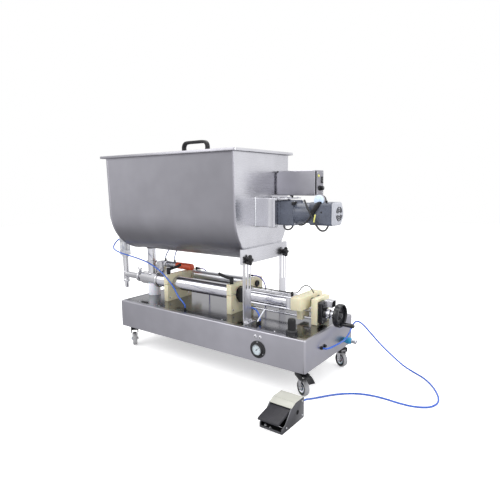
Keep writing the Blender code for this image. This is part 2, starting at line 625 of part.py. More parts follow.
# Stroke stop with its screw, counter and handwheel
def stroke_stop():
    x0, x1 = CROSS_X, CROSS_X + CROSS_THICK
    z0 = LINE_Z - CROSS_HEIGHT / 2 + 2 * mm
    nut_x = x0 + 8 * mm
    bores = [cylinder("x", SCREW_Y, SCREW_Z, SCREW_RADIUS + RUNNING, x0 - 20 * mm, x1 + 30 * mm, 16),
             cylinder("x", GUIDE_Y, GUIDE_Z, GUIDE_RADIUS + RUNNING, x0 - 20 * mm, x1 + 30 * mm, 16)]
    body = rounded(CROSS_FRONT, CROSS_BACK, z0, z0 + CROSS_HEIGHT, 3 * mm, 2)
    solids = [prism("x", body, x0, x1),
              box(nut_x, nut_x + NUT_THICK, NUT_FRONT, NUT_BACK, z0 - NUT_DROP, z0 + 2 * mm)]
    for y in (SCREW_Y + 28 * mm, SCREW_Y + 92 * mm):
        solids.append(turned("x", y, z0 + CROSS_HEIGHT / 2, [
            (x1 - 2 * mm, 0), (x1 - 2 * mm, 15 * mm), (x1 + 7 * mm, 15 * mm),
            (x1 + 10 * mm, 12 * mm), (x1 + 10 * mm, 0)], 12))
    piece("crosshead", "cream", solids, bores, at=(x0, SCREW_Y, SCREW_Z))

    plate_end = END_PLATE_X + END_PLATE_THICK
    piece("guide_rod", "polished_steel", [cylinder(
        "x", GUIDE_Y, GUIDE_Z, GUIDE_RADIUS, MIDDLE_PLATE_X + PLATE_THICK + GAP, plate_end, 16)])
    outline = rounded(END_PLATE_FRONT, END_PLATE_BACK, DECK + GAP, DECK + END_PLATE_HEIGHT, 3 * mm, 2)
    piece("end_plate", "cream", [prism("x", outline, END_PLATE_X, plate_end)],
          [cylinder("x", SCREW_Y, SCREW_Z, SCREW_RADIUS + RUNNING, END_PLATE_X - 5 * mm,
                    plate_end + 5 * mm, 16),
           cylinder("x", GUIDE_Y, GUIDE_Z, GUIDE_RADIUS + GAP, END_PLATE_X - 5 * mm,
                    plate_end + 5 * mm, 16)])

    half = COUNTER_WIDTH / 2
    face = COUNTER_X + COUNTER_THICK
    top = SCREW_Z + 56 * mm
    window = COLLAR_RADIUS + 5 * mm
    piece("position_counter", "black_plastic", [
        prism("x", rounded(SCREW_Y - half, SCREW_Y + half, top - COUNTER_HEIGHT, top, 9 * mm, 3),
              COUNTER_X, face),
        prism("x", rounded(SCREW_Y - 4 * mm, SCREW_Y + 36 * mm, SCREW_Z + window,
                           SCREW_Z + window + 33 * mm, 3 * mm, 2), face - 1 * mm, face + 38 * mm),
        turned("x", SCREW_Y, SCREW_Z, [
            (face - 1 * mm, 0), (face - 1 * mm, COLLAR_RADIUS), (face + 14 * mm, COLLAR_RADIUS),
            (face + 16 * mm, COLLAR_RADIUS - 4 * mm), (face + 24 * mm, COLLAR_RADIUS - 4 * mm),
            (face + 26 * mm, COLLAR_RADIUS), (COLLAR_END, COLLAR_RADIUS - 2 * mm),
            (COLLAR_END, 0)], 20)],
        [cylinder("x", SCREW_Y, SCREW_Z, SCREW_RADIUS + RUNNING, COUNTER_X - 5 * mm,
                  COLLAR_END + 5 * mm, 12)])
    handwheel()


def handwheel():
    hub_x = COLLAR_END + GAP
    r = HANDWHEEL_RADIUS
    x = WHEEL_X
    far = x + HANDWHEEL_RIM
    angle = math.radians(240)
    grip_y = SCREW_Y + GRIP_ORBIT * math.cos(angle)
    grip_z = SCREW_Z + GRIP_ORBIT * math.sin(angle)
    pin = 4 * mm
    wheel = piece("handwheel_and_screw", "black_plastic", [
        turned("x", SCREW_Y, SCREW_Z, [
            (CROSS_X + 2 * mm, 0), (CROSS_X + 2 * mm, SCREW_RADIUS), (hub_x, SCREW_RADIUS),
            (hub_x, 14 * mm), (x + 3 * mm, 16 * mm), (x + 4 * mm, r - 9 * mm), (x, r - 6 * mm),
            (x + 4 * mm, r), (far - 4 * mm, r), (far, r - 3 * mm), (far - 1 * mm, r - 7 * mm),
            (x + 12 * mm, r - 8 * mm), (x + 10 * mm, 18 * mm), (far - 4 * mm, 12 * mm),
            (far - 4 * mm, 0)], 24),
        cylinder("x", grip_y, grip_z, pin, x + 6 * mm, GRIP_X + GRIP_LENGTH - 10 * mm, 8)],
        at=(hub_x, SCREW_Y, SCREW_Z))
    e = GRIP_RADIUS
    end = GRIP_X + GRIP_LENGTH
    piece("crank_grip", "black_plastic", [turned("x", grip_y, grip_z, [
        (GRIP_X, pin + RUNNING), (GRIP_X, e - 2 * mm), (GRIP_X + 14 * mm, e - 1 * mm),
        (end - 5 * mm, e), (end, e - 5 * mm), (end, 1 * mm),
        (end - 8 * mm, 1 * mm), (end - 8 * mm, pin + RUNNING)], 12)],
        at=(GRIP_X, grip_y, grip_z), parent=wheel)


# Three-way valve under the hopper, its rotor, the outlet and the nozzle
def ferrule(axis, u, v, pipe, joint, side):
    """A clamp ferrule on a pipe, whose flat face is at the joint."""
    rim = pipe + FERRULE
    back = joint + side * FERRULE_THICK
    return turned(axis, u, v, [(joint, 0), (joint, rim), (back, rim),
                               (back + side * 1.2 * mm, pipe), (back + side * 1.2 * mm, 0)], 20)


def valve():
    boss_end = LINE_Y + VALVE_RADIUS + 24 * mm
    joint_z = DECK + 203 * mm
    flange = TUBE_RADIUS + FERRULE - 4 * mm
    left_joint = OUTLET_JOINT_X + GAP
    bore = ROTOR_RADIUS + RUNNING
    solids = [turned("x", LINE_Y, LINE_Z, [
        (VALVE_LEFT, 0), (VALVE_LEFT, VALVE_RADIUS - 5 * mm), (VALVE_LEFT + 5 * mm, VALVE_RADIUS),
        (JOINT_X - FERRULE_THICK - 2 * mm, VALVE_RADIUS), (JOINT_X - FERRULE_THICK, flange),
        (JOINT_X - GAP, flange), (JOINT_X - GAP, 0)], TUBE_SIDES),
        cylinder("x", LINE_Y, LINE_Z, OUTLET_RADIUS, left_joint + FERRULE_THICK, VALVE_LEFT + 5 * mm, 20),
        ferrule("x", LINE_Y, LINE_Z, OUTLET_RADIUS, left_joint, 1),
        cylinder("z", NECK_X, LINE_Y, NECK_RADIUS, LINE_Z, joint_z - FERRULE_THICK, 20),
        ferrule("z", NECK_X, LINE_Y, NECK_RADIUS, joint_z, -1),
        cylinder("y", NECK_X, LINE_Z, ROTOR_RADIUS + BOSS_WALL, LINE_Y, boss_end, 24)]
    cuts = [cylinder("y", NECK_X, LINE_Z, bore, LINE_Y - ROTOR_RADIUS - 1 * mm, boss_end + 5 * mm, 24),
            cylinder("x", LINE_Y, LINE_Z, OUTLET_RADIUS - NECK_WALL, left_joint - 5 * mm, NECK_X, 16),
            cylinder("x", LINE_Y, LINE_Z, ROTOR_RADIUS, NECK_X + 5 * mm, JOINT_X + 5 * mm, 16),
            cylinder("z", NECK_X, LINE_Y, NECK_RADIUS - NECK_WALL, LINE_Z + 5 * mm, joint_z + 5 * mm, 16)]
    piece("valve_body", "stainless", solids, cuts)

    plug_front = LINE_Y - ROTOR_RADIUS
    port = OUTLET_RADIUS - NECK_WALL
    housing_y = boss_end + GAP
    piece("valve_rotor", "white_nylon", [turned("y", NECK_X, LINE_Z, [
        (plug_front, 0), (plug_front, ROTOR_RADIUS), (boss_end - 2 * mm, ROTOR_RADIUS),
        (boss_end - 2 * mm, STEM_RADIUS), (housing_y + 34 * mm, STEM_RADIUS),
        (housing_y + 34 * mm, 0)], 24)],
        [cylinder("x", LINE_Y, LINE_Z, port, NECK_X, NECK_X + 60 * mm, 16),
         cylinder("z", NECK_X, LINE_Y, port, LINE_Z - 60 * mm, LINE_Z + 60 * mm, 16)],
        at=(NECK_X, LINE_Y, LINE_Z))

    tube_z = DECK + PLATE_HEIGHT + GAP + ACTUATOR_RADIUS
    half = 35 * mm
    housing = [(NECK_X - half, LINE_Z - half)] + [(NECK_X + half, LINE_Z - half)]
    housing += arc(NECK_X, tube_z - 12 * mm, half, 0, 180, 12)
    piece("valve_actuator", "aluminium",
          [prism("y", housing, housing_y, housing_y + 60 * mm),
           turned("x", ACTUATOR_Y, tube_z, [
               (NECK_X, 0), (NECK_X, ACTUATOR_RADIUS), (ACTUATOR_JOINT, ACTUATOR_RADIUS),
               (ACTUATOR_JOINT, 0)], 20)],
          [cylinder("y", NECK_X, LINE_Z, STEM_RADIUS + RUNNING, housing_y - 5 * mm,
                    housing_y + 40 * mm, 20)])
    piece("actuator_end_tube", "red_anodised", [turned("x", ACTUATOR_Y, tube_z, [
        (ACTUATOR_JOINT + GAP, 0), (ACTUATOR_JOINT + GAP, ACTUATOR_RADIUS),
        (ACTUATOR_RIGHT - 3 * mm, ACTUATOR_RADIUS), (ACTUATOR_RIGHT, ACTUATOR_RADIUS - 3 * mm),
        (ACTUATOR_RIGHT, 0)], 20)])

    post_top = LINE_Z - VALVE_RADIUS + 14 * mm
    piece("valve_post", "white_nylon",
          [cylinder("z", POST_X, LINE_Y, POST_RADIUS, DECK + GAP, post_top, 28)],
          [cylinder("x", LINE_Y, LINE_Z, VALVE_RADIUS + GAP, POST_X - 60 * mm, POST_X + 60 * mm,
                    TUBE_SIDES),
           cylinder("y", NECK_X, LINE_Z, ROTOR_RADIUS + BOSS_WALL + GAP, LINE_Y,
                    boss_end + 10 * mm, 24)])
    outlet()


def outlet():
    joint = OUTLET_JOINT_X
    tee_bottom = LINE_Z - 30 * mm
    tip = NOZZLE_TIP
    r = NOZZLE_RADIUS
    inner = NOZZLE_PIN_RADIUS + 4 * mm
    pipe = cylinder("x", LINE_Y, LINE_Z, OUTLET_RADIUS - 0.5 * mm, NOZZLE_X,
                    joint - FERRULE_THICK / 2, 20)
    nozzle = turned("z", NOZZLE_X, LINE_Y, [
        (tip, 0), (tip, r - 6 * mm), (tip + 4 * mm, r - 5 * mm), (tip + 37 * mm, r - 5 * mm),
        (tip + 38 * mm, r + 4 * mm), (tee_bottom - 4 * mm, r + 4 * mm), (tee_bottom, r),
        (NOZZLE_TOP - 14 * mm, r), (NOZZLE_TOP - 12 * mm, r + 4 * mm),
        (NOZZLE_TOP - GAP, r + 4 * mm), (NOZZLE_TOP - GAP, 0)], 20)
    piece("outlet_and_nozzle", "stainless",
          [pipe, ferrule("x", LINE_Y, LINE_Z, OUTLET_RADIUS, joint, -1), nozzle],
          [cylinder("x", LINE_Y, LINE_Z, OUTLET_RADIUS - NECK_WALL, NOZZLE_X, joint + 5 * mm, 16),
           cylinder("z", NOZZLE_X, LINE_Y, inner, tip + 40 * mm, NOZZLE_TOP - 20 * mm, 12),
           cylinder("z", NOZZLE_X, LINE_Y, NOZZLE_PIN_RADIUS + RUNNING, tip - 5 * mm,
                    NOZZLE_TOP + 5 * mm, 12)])
    rim = OUTLET_RADIUS + FERRULE
    mid = joint + GAP / 2
    half = FERRULE_THICK + 3 * mm
    outer = rim + 4 * mm
    top = LINE_Z + outer
    wings = [(mid - 5 * mm, top + 8 * mm), (mid + 5 * mm, top + 8 * mm), (mid + 20 * mm, top + 22 * mm),
             (mid + 15 * mm, top + 27 * mm), (mid, top + 17 * mm), (mid - 15 * mm, top + 27 * mm),
             (mid - 20 * mm, top + 22 * mm)]
    piece("outlet_clamp", "stainless", [
        turned("x", LINE_Y, LINE_Z, [
            (mid - half, OUTLET_RADIUS + 1 * mm), (mid - half, outer), (mid + half, outer),
            (mid + half, OUTLET_RADIUS + 1 * mm), (mid + half - 1.2 * mm, OUTLET_RADIUS + 1 * mm),
            (mid + FERRULE_THICK + 1 * mm, rim + GAP), (mid - FERRULE_THICK - 1 * mm, rim + GAP),
            (mid - half + 1.2 * mm, OUTLET_RADIUS + 1 * mm)], 20),
        prism("y", rounded(mid - 6 * mm, mid + 6 * mm, LINE_Z + rim + 1.5 * mm, top + 10 * mm, 2 * mm, 2),
              LINE_Y - 8 * mm, LINE_Y + 8 * mm),
        prism("y", wings, LINE_Y - 4 * mm, LINE_Y + 4 * mm)])

    pin = NOZZLE_PIN_RADIUS
    block_z = NOZZLE_TOP
    piece("nozzle_pin", "stainless", [turned("z", NOZZLE_X, LINE_Y, [
        (tip + 1 * mm, 0), (tip + 1 * mm, pin), (tip + 20 * mm, pin), (tip + 24 * mm, pin - 2 * mm),
        (block_z + 30 * mm, pin - 2 * mm), (block_z + 30 * mm, 0)], 12)],
        at=(NOZZLE_X, LINE_Y, tip))
    half = NOZZLE_BLOCK / 2
    cavity_top = block_z + 30 * mm + NOZZLE_STROKE + 4 * mm
    square = rounded(NOZZLE_X - half, NOZZLE_X + half, LINE_Y - half, LINE_Y + half, 5 * mm, 2)
    solids = [prism("z", square, block_z, block_z + NOZZLE_BLOCK_HEIGHT)]
    for z in (block_z + 18 * mm, block_z + NOZZLE_BLOCK_HEIGHT - 18 * mm):
        solids.append(cylinder("x", LINE_Y - 8 * mm, z, 6 * mm, NOZZLE_X - half - FITTING,
                               NOZZLE_X - half + 2 * mm, 12))
    cuts = [cylinder("z", NOZZLE_X, LINE_Y, pin - 2 * mm + RUNNING, block_z - 5 * mm, cavity_top, 16)]
    for sx in (-1, 1):
        for sy in (-1, 1):
            cuts.append(box(*sorted((NOZZLE_X + sx * (half - 9 * mm), NOZZLE_X + sx * (half + 5 * mm))),
                            *sorted((LINE_Y + sy * (half - 9 * mm), LINE_Y + sy * (half + 5 * mm))),
                            block_z + 30 * mm, block_z + NOZZLE_BLOCK_HEIGHT - 30 * mm))
    piece("nozzle_cylinder", "aluminium", solids, cuts)


# Hopper, lid and ribbon stirrer
def trough_outline(grow, top):
    """The trough's section up to the height top, grown outwards by a distance."""
    half = HOPPER_MOUTH + grow
    return [(-half, top)] + arc(0, TROUGH_AXIS_Z, TROUGH_RADIUS + grow, 180, 360, 16) + [(half, top)]


def hopper():
    joint_z = DECK + 203 * mm + GAP
    neck_top = TROUGH_AXIS_Z - TROUGH_RADIUS + 12 * mm
    left, right = HOPPER_LEFT, HOPPER_RIGHT
    under_rim = HOPPER_TOP - SHEET / 2
    solids = [prism("x", trough_outline(0, under_rim), left + SHEET / 2, right - SHEET / 2),
              prism("x", trough_outline(BAND_PROUD, under_rim), left, left + END_BAND),
              prism("x", trough_outline(BAND_PROUD, under_rim), right - END_BAND, right),
              box(left - RIM_FLANGE, right + RIM_FLANGE, -HOPPER_MOUTH - RIM_FLANGE,
                  HOPPER_MOUTH + RIM_FLANGE, HOPPER_TOP - SHEET, HOPPER_TOP),
              cylinder("z", NECK_X, LINE_Y, NECK_RADIUS, joint_z + FERRULE_THICK, neck_top, 20),
              ferrule("z", NECK_X, LINE_Y, NECK_RADIUS, joint_z, 1)]
    cuts = [prism("x", trough_outline(-SHEET, HOPPER_TOP + 20 * mm), left + SHEET, right - SHEET),
            cylinder("z", NECK_X, LINE_Y, NECK_RADIUS - NECK_WALL, joint_z - 5 * mm, neck_top + 30 * mm, 16),
            cylinder("x", 0, SHAFT_Z, SHAFT_RADIUS + RUNNING, right - 30 * mm, right + 30 * mm, 16),
            cylinder("x", 0, SHAFT_Z, SHAFT_RADIUS + RUNNING, left - 30 * mm, left + 30 * mm, 16)]
    piece("hopper", "brushed_steel", solids, cuts)


def lid():
    x0, x1 = HOPPER_LEFT - 34 * mm, HOPPER_RIGHT + 21 * mm
    half = HOPPER_MOUTH + LID_OVERHANG
    plate = HOPPER_TOP + GAP
    top = plate + SHEET
    skirt = top - LID_DEPTH
    made = piece("lid", "stainless",
                 [prism("z", rounded(x0, x1, -half, half, 8 * mm, 3), skirt, top)],
                 [prism("z", rounded(x0 + SHEET, x1 - SHEET, -half + SHEET, half - SHEET, 6 * mm, 3),
                        skirt - 10 * mm, plate)],
                 at=((x0 + x1) / 2, 0, plate))
    x = (x0 + x1) / 2 + 20 * mm
    span = HANDLE_SPAN / 2
    base = top + GAP
    high = base + HANDLE_HEIGHT
    thick = 17 * mm
    outer = [(x - span, base), (x - span, high - 26 * mm)] + arc(
        x - span + 26 * mm, high - 26 * mm, 26 * mm, 180, 90, 5)[1:]
    outer += arc(x + span - 26 * mm, high - 26 * mm, 26 * mm, 90, 0, 5) + [(x + span, base)]
    inner = [(x + span - thick, base), (x + span - thick, high - 30 * mm)] + arc(
        x + span - thick - 12 * mm, high - thick - 12 * mm, 12 * mm, 0, 90, 4)
    inner += arc(x - span + thick + 12 * mm, high - thick - 12 * mm, 12 * mm, 90, 180, 4)
    inner += [(x - span + thick, base)]
    piece("lid_handle", "black_plastic", [prism("y", outer + inner, -13 * mm, 13 * mm)],
          at=(x, 0, base), parent=made)


def stirrer():
    """The shaft with one helical ribbon on radial arms."""
    left = HOPPER_LEFT - 4 * mm
    right = HOPPER_RIGHT + GAP + MOUNT_LENGTH + MOUNT_FLANGE + 24 * mm
    ribbon_left, ribbon_right = HOPPER_LEFT + 60 * mm, HOPPER_RIGHT - 60 * mm
    steps = 30
    sections = []
    for i in range(steps + 1):
        share = i / steps
        angle = 2 * math.pi * RIBBON_TURNS * share
        x = ribbon_left + (ribbon_right - ribbon_left) * share
        ring = []
        for radius, offset in ((RIBBON_RADIUS - RIBBON_WIDTH, -3), (RIBBON_RADIUS, -3),
                               (RIBBON_RADIUS, 3), (RIBBON_RADIUS - RIBBON_WIDTH, 3)):
            ring.append((x + offset * mm, radius * math.cos(angle), SHAFT_Z + radius * math.sin(angle)))
        sections.append(ring)
    verts = [v for ring in sections for v in ring]
    faces = [(0, 1, 2, 3), tuple(4 * steps + k for k in (3, 2, 1, 0))]
    for i in range(steps):
        faces += [(4 * i + k, 4 * i + (k + 1) % 4, 4 * i + 4 + (k + 1) % 4, 4 * i + 4 + k)
                  for k in range(4)]
    solids = [cylinder("x", 0, SHAFT_Z, SHAFT_RADIUS, left, right, 16), (verts, faces)]
    arms = 5
    for i in range(arms + 1):
        share = i / arms * (1 - 2 / steps) + 1 / steps
        angle = 2 * math.pi * RIBBON_TURNS * share
        x = ribbon_left + (ribbon_right - ribbon_left) * share
        reach = RIBBON_RADIUS - RIBBON_WIDTH / 2
        arm_verts, arm_faces = cylinder("z", 0, 0, 5 * mm, 0, reach, 6)
        swing = Matrix.Translation((x, 0, SHAFT_Z)) @ Matrix.Rotation(angle - math.pi / 2, 4, "X")
        solids.append(([tuple(swing @ Vector(v)) for v in arm_verts], arm_faces))
    piece("stirrer", "stainless", solids, at=(right, 0, SHAFT_Z))


# Bracket, slotted legs and star knobs
def supports():
    face = HOPPER_RIGHT + GAP
    web = face + BRACKET_DEPTH
    bottom = BRACKET_TOP - BRACKET_HEIGHT
    half = BRACKET_HALF
    stud_hole = KNOB_STUD + RUNNING
    solids = [box(web - SHEET, web, -half, half, bottom, BRACKET_TOP),
              box(face, web, -half, half, BRACKET_TOP - SHEET, BRACKET_TOP)]
    for side in (-1, 1):
        solids.append(box(face, web, *sorted((side * half, side * (half - SHEET))), bottom, BRACKET_TOP))
    piece("hopper_bracket", "stainless", solids,
          [cylinder("x", y, KNOB_Z, stud_hole, web - 10 * mm, web + 10 * mm, 16)
           for y in LEG_SLOT_Y.values()])
    leg_x1 = web - SHEET - GAP
    leg_x0 = leg_x1 - LEG_SHEET
    for where, slot_y in LEG_SLOT_Y.items():
        y0 = slot_y - SLOT_MARGIN
        y1 = y0 + LEG_WIDTH
        cuts = [prism("x", slot_outline(slot_y + k * SLOT_PITCH, SLOT_BOTTOM, LEG_TOP - 12 * mm,
                                        SLOT_WIDTH), leg_x0 - 5 * mm, leg_x1 + 5 * mm) for k in (0, 1)]
        outline = [(y0, DECK + GAP), (y1, DECK + GAP)] + arc(y1 - 8 * mm, LEG_TOP - 8 * mm, 8 * mm, 0, 90, 3)
        outline += arc(y0 + 8 * mm, LEG_TOP - 8 * mm, 8 * mm, 90, 180, 3)
        piece(f"leg_{where}", "stainless",
              [prism("x", outline, leg_x0, leg_x1),
               box(leg_x0, leg_x1 + LEG_FOOT, y0, y1, DECK + GAP, DECK + GAP + LEG_SHEET)], cuts)
        head = web + GAP
        stud_tip = face + 2 * mm
        piece(f"star_knob_{where}", "black_plastic",
              [turned("x", slot_y, KNOB_Z, [
                  (stud_tip, 0), (stud_tip, KNOB_STUD), (head, KNOB_STUD), (head, 12 * mm),
                  (head + 24 * mm, 13 * mm), (head + 26 * mm, 10 * mm), (head + 26 * mm, 0)], 12),
               prism("x", lobes(slot_y, KNOB_Z, 15 * mm, KNOB_RADIUS, 5, 6), head + 7 * mm,
                     head + 22 * mm)],
              at=(head, slot_y, KNOB_Z))


# Mixer drive and control box on the hopper's right wall
def mixer_drive():
    face = HOPPER_RIGHT + GAP
    flange_x = face + MOUNT_LENGTH
    gear_x = flange_x + MOUNT_FLANGE + GAP
    half_w, half_h = MOUNT_WIDTH / 2, MOUNT_HEIGHT / 2
    bore = SHAFT_RADIUS + RUNNING
    gear_top = SHAFT_Z + GEARBOX_HEIGHT / 2
    piece("mixer_mount", "stainless", [
        prism("x", rounded(-half_w, half_w, SHAFT_Z - half_h, SHAFT_Z + half_h, 5 * mm, 2),
              face, flange_x + 1 * mm),
        box(flange_x, flange_x + MOUNT_FLANGE, -half_w - 1 * mm, half_w + 1 * mm,
            SHAFT_Z - half_h - 1 * mm, SHAFT_Z + half_h + 1 * mm),
        box(flange_x, flange_x + MOUNT_FLANGE + 66 * mm, -half_w + 8 * mm, half_w - 8 * mm,
            gear_top + 6 * mm, gear_top + 10 * mm)],
        [cylinder("x", 0, SHAFT_Z, bore, face - 5 * mm, flange_x + MOUNT_FLANGE + 5 * mm, 20)])
    half = GEARBOX_WIDTH / 2
    gear_end = gear_x + GEARBOX_LENGTH
    grooves = [box(gear_x + 18 * mm + i * 17 * mm, gear_x + 24 * mm + i * 17 * mm, -half - 5 * mm,
                   -half + 4 * mm, SHAFT_Z - 40 * mm, SHAFT_Z + 40 * mm) for i in range(3)]
    piece("gearbox", "grey_paint", [
        prism("x", rounded(-half, half, gear_top - GEARBOX_HEIGHT, gear_top, 9 * mm, 3),
              gear_x, gear_end)],
        grooves + [cylinder("x", 0, SHAFT_Z, bore, gear_x - 5 * mm, gear_x + 30 * mm, 20)])
    motor_x = gear_end + GAP
    tail_x = motor_x + MOTOR_LENGTH
    end = tail_x + MOTOR_TAIL
    r = MOTOR_RADIUS
    ribs = []
    for i in range(3):
        x = motor_x + (16 + 22 * i) * mm
        ribs += [(x, r - 3 * mm), (x + 2 * mm, r), (x + 12 * mm, r), (x + 14 * mm, r - 3 * mm)]
    profile = [(motor_x, 0), (motor_x, r), (motor_x + 10 * mm, r)] + ribs
    profile += [(tail_x, r - 3 * mm), (tail_x, 0)]
    tail = rounded(-r - 2 * mm, r + 2 * mm, SHAFT_Z - r - 2 * mm, SHAFT_Z + r + 2 * mm, 24 * mm, 4)
    cover_x = end - FAN_COVER
    vents = [box(end - FAN_COVER / 3, end + 5 * mm, -r / 2, r / 2,
                 SHAFT_Z + (k * 20 - 5) * mm, SHAFT_Z + (k * 20 + 5) * mm) for k in (-1, 0, 1)]
    cap_x = tail_x + 44 * mm
    piece("motor", "grey_paint", [
        turned("x", 0, SHAFT_Z, profile, 24),
        prism("x", tail, tail_x - 1 * mm, cover_x - GAP),
        turned("y", cap_x, SHAFT_Z + r + 10 * mm, [
            (-46 * mm, 0), (-46 * mm, 22 * mm), (-43 * mm, 25 * mm), (-14 * mm, 25 * mm),
            (-14 * mm, 0)], 16)])
    piece("fan_cover", "light_grey", [prism("x", tail, cover_x, end)], vents)


def control_box():
    face = HOPPER_RIGHT + GAP
    x0, x1 = face + CONTROL_SPACER, face + CONTROL_SPACER + CONTROL_LENGTH
    rock_y = CONTROL_FRONT + 76 * mm
    rock_z = CONTROL_BOTTOM + 76 * mm
    y0, y1 = CONTROL_FRONT, CONTROL_FRONT + CONTROL_WIDTH
    z0, z1 = CONTROL_BOTTOM, CONTROL_BOTTOM + CONTROL_HEIGHT
    piece("control_box", "stainless", [
        prism("x", rounded(y0, y1, z0, z1, 4 * mm, 2), x0, x1),
        box(face, x0 + 1 * mm, y0 + 14 * mm, y1 - 14 * mm, z0 + 14 * mm, z1 - 14 * mm),
        prism("x", rounded(y0 + 5 * mm, y1 - 5 * mm, z0 + 5 * mm, z1 - 5 * mm, 3 * mm, 2),
              x1 - 1 * mm, x1 + 1.5 * mm),
        cylinder("z", x0 + 60 * mm, (y0 + y1) / 2, 8 * mm, z0 - 14 * mm, z0 + 2 * mm, 12)],
        [box(x1 - 9 * mm, x1 + 10 * mm, rock_y - 8 * mm, rock_y + 8 * mm,
             rock_z - 13.5 * mm, rock_z + 13.5 * mm)])
    panel = x1 + 1.5 * mm + GAP
    knob_y, knob_z = y0 + 54 * mm, z0 + 36 * mm
    piece("speed_knob", "black_plastic", [
        turned("x", knob_y, knob_z, [
            (panel, 0), (panel, 15 * mm), (panel + 4 * mm, 15 * mm), (panel + 6 * mm, 12 * mm),
            (panel + 19 * mm, 11 * mm), (panel + 21 * mm, 9 * mm), (panel + 21 * mm, 0)], 16),
        box(panel + 5 * mm, panel + 22.5 * mm, knob_y - 1.5 * mm, knob_y + 1.5 * mm,
            knob_z, knob_z + 10 * mm)],
        at=(panel, knob_y, knob_z))
    pivot = Vector((x1, rock_y, rock_z))
    section = [(2 * mm, 0), (6 * mm, 12 * mm), (-4 * mm, 12 * mm), (-6 * mm, 0), (-4 * mm, -12 * mm),
               (6 * mm, -12 * mm)]
    tilt = Matrix.Rotation(math.radians(ROCKER_TILT), 2)
    rocker = [tuple(tilt @ Vector(spot) + Vector((pivot.z, pivot.x)).yx) for spot in section]
    verts = [(x, y, z) for y in (rock_y - 7.7 * mm, rock_y + 7.7 * mm) for x, z in rocker]
    sides = [(i, i + 6, (i + 1) % 6 + 6, (i + 1) % 6) for i in range(6)]
    piece("power_switch", "black_plastic",
          [(verts, [tuple(range(6)), tuple(range(11, 5, -1))] + sides)], at=pivot)


# Gauge, regulator knob and air inlet on the cabinet
def panel_items():
    front = -SIDE_Y - GAP
    r = GAUGE_RADIUS
    piece("pressure_gauge", "black_plastic", [turned("y", GAUGE_X, GAUGE_Z, [
        (front, 0), (front, r), (front - 3 * mm, r), (front - 4 * mm, r - 1 * mm),
        (front - 4 * mm, r - 8 * mm), (front - 13 * mm, r - 10 * mm),
        (front - 15 * mm, r - 13 * mm), (front - 11 * mm, r - 15 * mm), (front - 11 * mm, 0)], 24)])
    base = DECK + 30 * mm + GAP
    piece("regulator_knob", "black_plastic", [
        prism("z", lobes(REGULATOR_X, REGULATOR_Y, 16.5 * mm, 18 * mm, 12, 2), base, base + 38 * mm),
        turned("z", REGULATOR_X, REGULATOR_Y, [
            (base + 37 * mm, 0), (base + 37 * mm, 17.5 * mm), (base + 46 * mm, 15.5 * mm),
            (base + 49 * mm, 12 * mm), (base + 49 * mm, 0)], 16)],
        at=(REGULATOR_X, REGULATOR_Y, base))
    wall = END_X + GAP
    piece("air_inlet", "blue_brass", [turned("x", INLET_Y, INLET_Z, [
        (wall, 0), (wall, 13 * mm), (wall + 9 * mm, 13 * mm), (wall + 11 * mm, 9 * mm),
        (wall + 50 * mm, 9 * mm), (wall + 52 * mm, 11 * mm), (wall + 62 * mm, 11 * mm),
        (wall + 64 * mm, 9 * mm), (wall + 64 * mm, 0)], 14)],
        at=(wall, INLET_Y, INLET_Z))
    sleeve = wall + 11 * mm + GAP
    piece("inlet_sleeve", "blue_brass", [turned("x", INLET_Y, INLET_Z, [
        (sleeve, 9 * mm + RUNNING), (sleeve, 15 * mm), (sleeve + 4 * mm, 16 * mm),
        (sleeve + 22 * mm, 16 * mm), (sleeve + 26 * mm, 14 * mm),
        (sleeve + 26 * mm, 9 * mm + RUNNING)], 16)],
        at=(sleeve, INLET_Y, INLET_Z))


# Foot pedal: a cast body with cheeks, and a treadle between them
def foot_pedal():
    half = PEDAL_WIDTH / 2
    side = [(PEDAL_FRONT, 0), (PEDAL_BACK, 0), (PEDAL_BACK, PEDAL_HEIGHT - 8 * mm),
            (PEDAL_BACK - 8 * mm, PEDAL_HEIGHT), (TREADLE_PIVOT_Y + 12 * mm, PEDAL_HEIGHT),
            (TREADLE_PIVOT_Y - 16 * mm, PEDAL_HEIGHT - 12 * mm), (PEDAL_FRONT + 22 * mm, 30 * mm),
            (PEDAL_FRONT, 22 * mm)]
    inner = half - CHEEK
    fitting = cylinder("y", PEDAL_X + 16 * mm, 36 * mm, 8 * mm, PEDAL_BACK - 2 * mm,
                       PEDAL_BACK + 12 * mm, 12)
    piece("pedal_body", "grey_paint", [
        prism("x", side, PEDAL_X - half, PEDAL_X + half), fitting],
        [box(PEDAL_X - inner, PEDAL_X + inner, PEDAL_FRONT - 10 * mm, TREADLE_PIVOT_Y + 12 * mm,
             8 * mm, PEDAL_HEIGHT + 10 * mm)])
    r = 7 * mm
    y, z = TREADLE_PIVOT_Y, TREADLE_PIVOT_Z
    slab = [(y, z - 5 * mm), (TREADLE_FRONT + 6 * mm, 40 * mm), (TREADLE_FRONT, 43 * mm),
            (TREADLE_FRONT + 2 * mm, 50 * mm), (y - 2 * mm, z + 7 * mm), (y + 6 * mm, z + 4 * mm)]
    ribs = [box(PEDAL_X - inner + 8 * mm, PEDAL_X + inner - 8 * mm, y - (26 + 17 * i) * mm,
                y - (20 + 17 * i) * mm, z + 2 * mm - 3.4 * i * mm - 6 * mm, z + 5.5 * mm - 3.4 * i * mm)
            for i in range(5)]
    piece("pedal_treadle", "black_plastic", [
        prism("x", slab, PEDAL_X - inner + GAP, PEDAL_X + inner - GAP),
        cylinder("x", y, z, r, PEDAL_X - inner + GAP, PEDAL_X + inner - GAP, 16)] + ribs,
        at=(PEDAL_X, y, z))


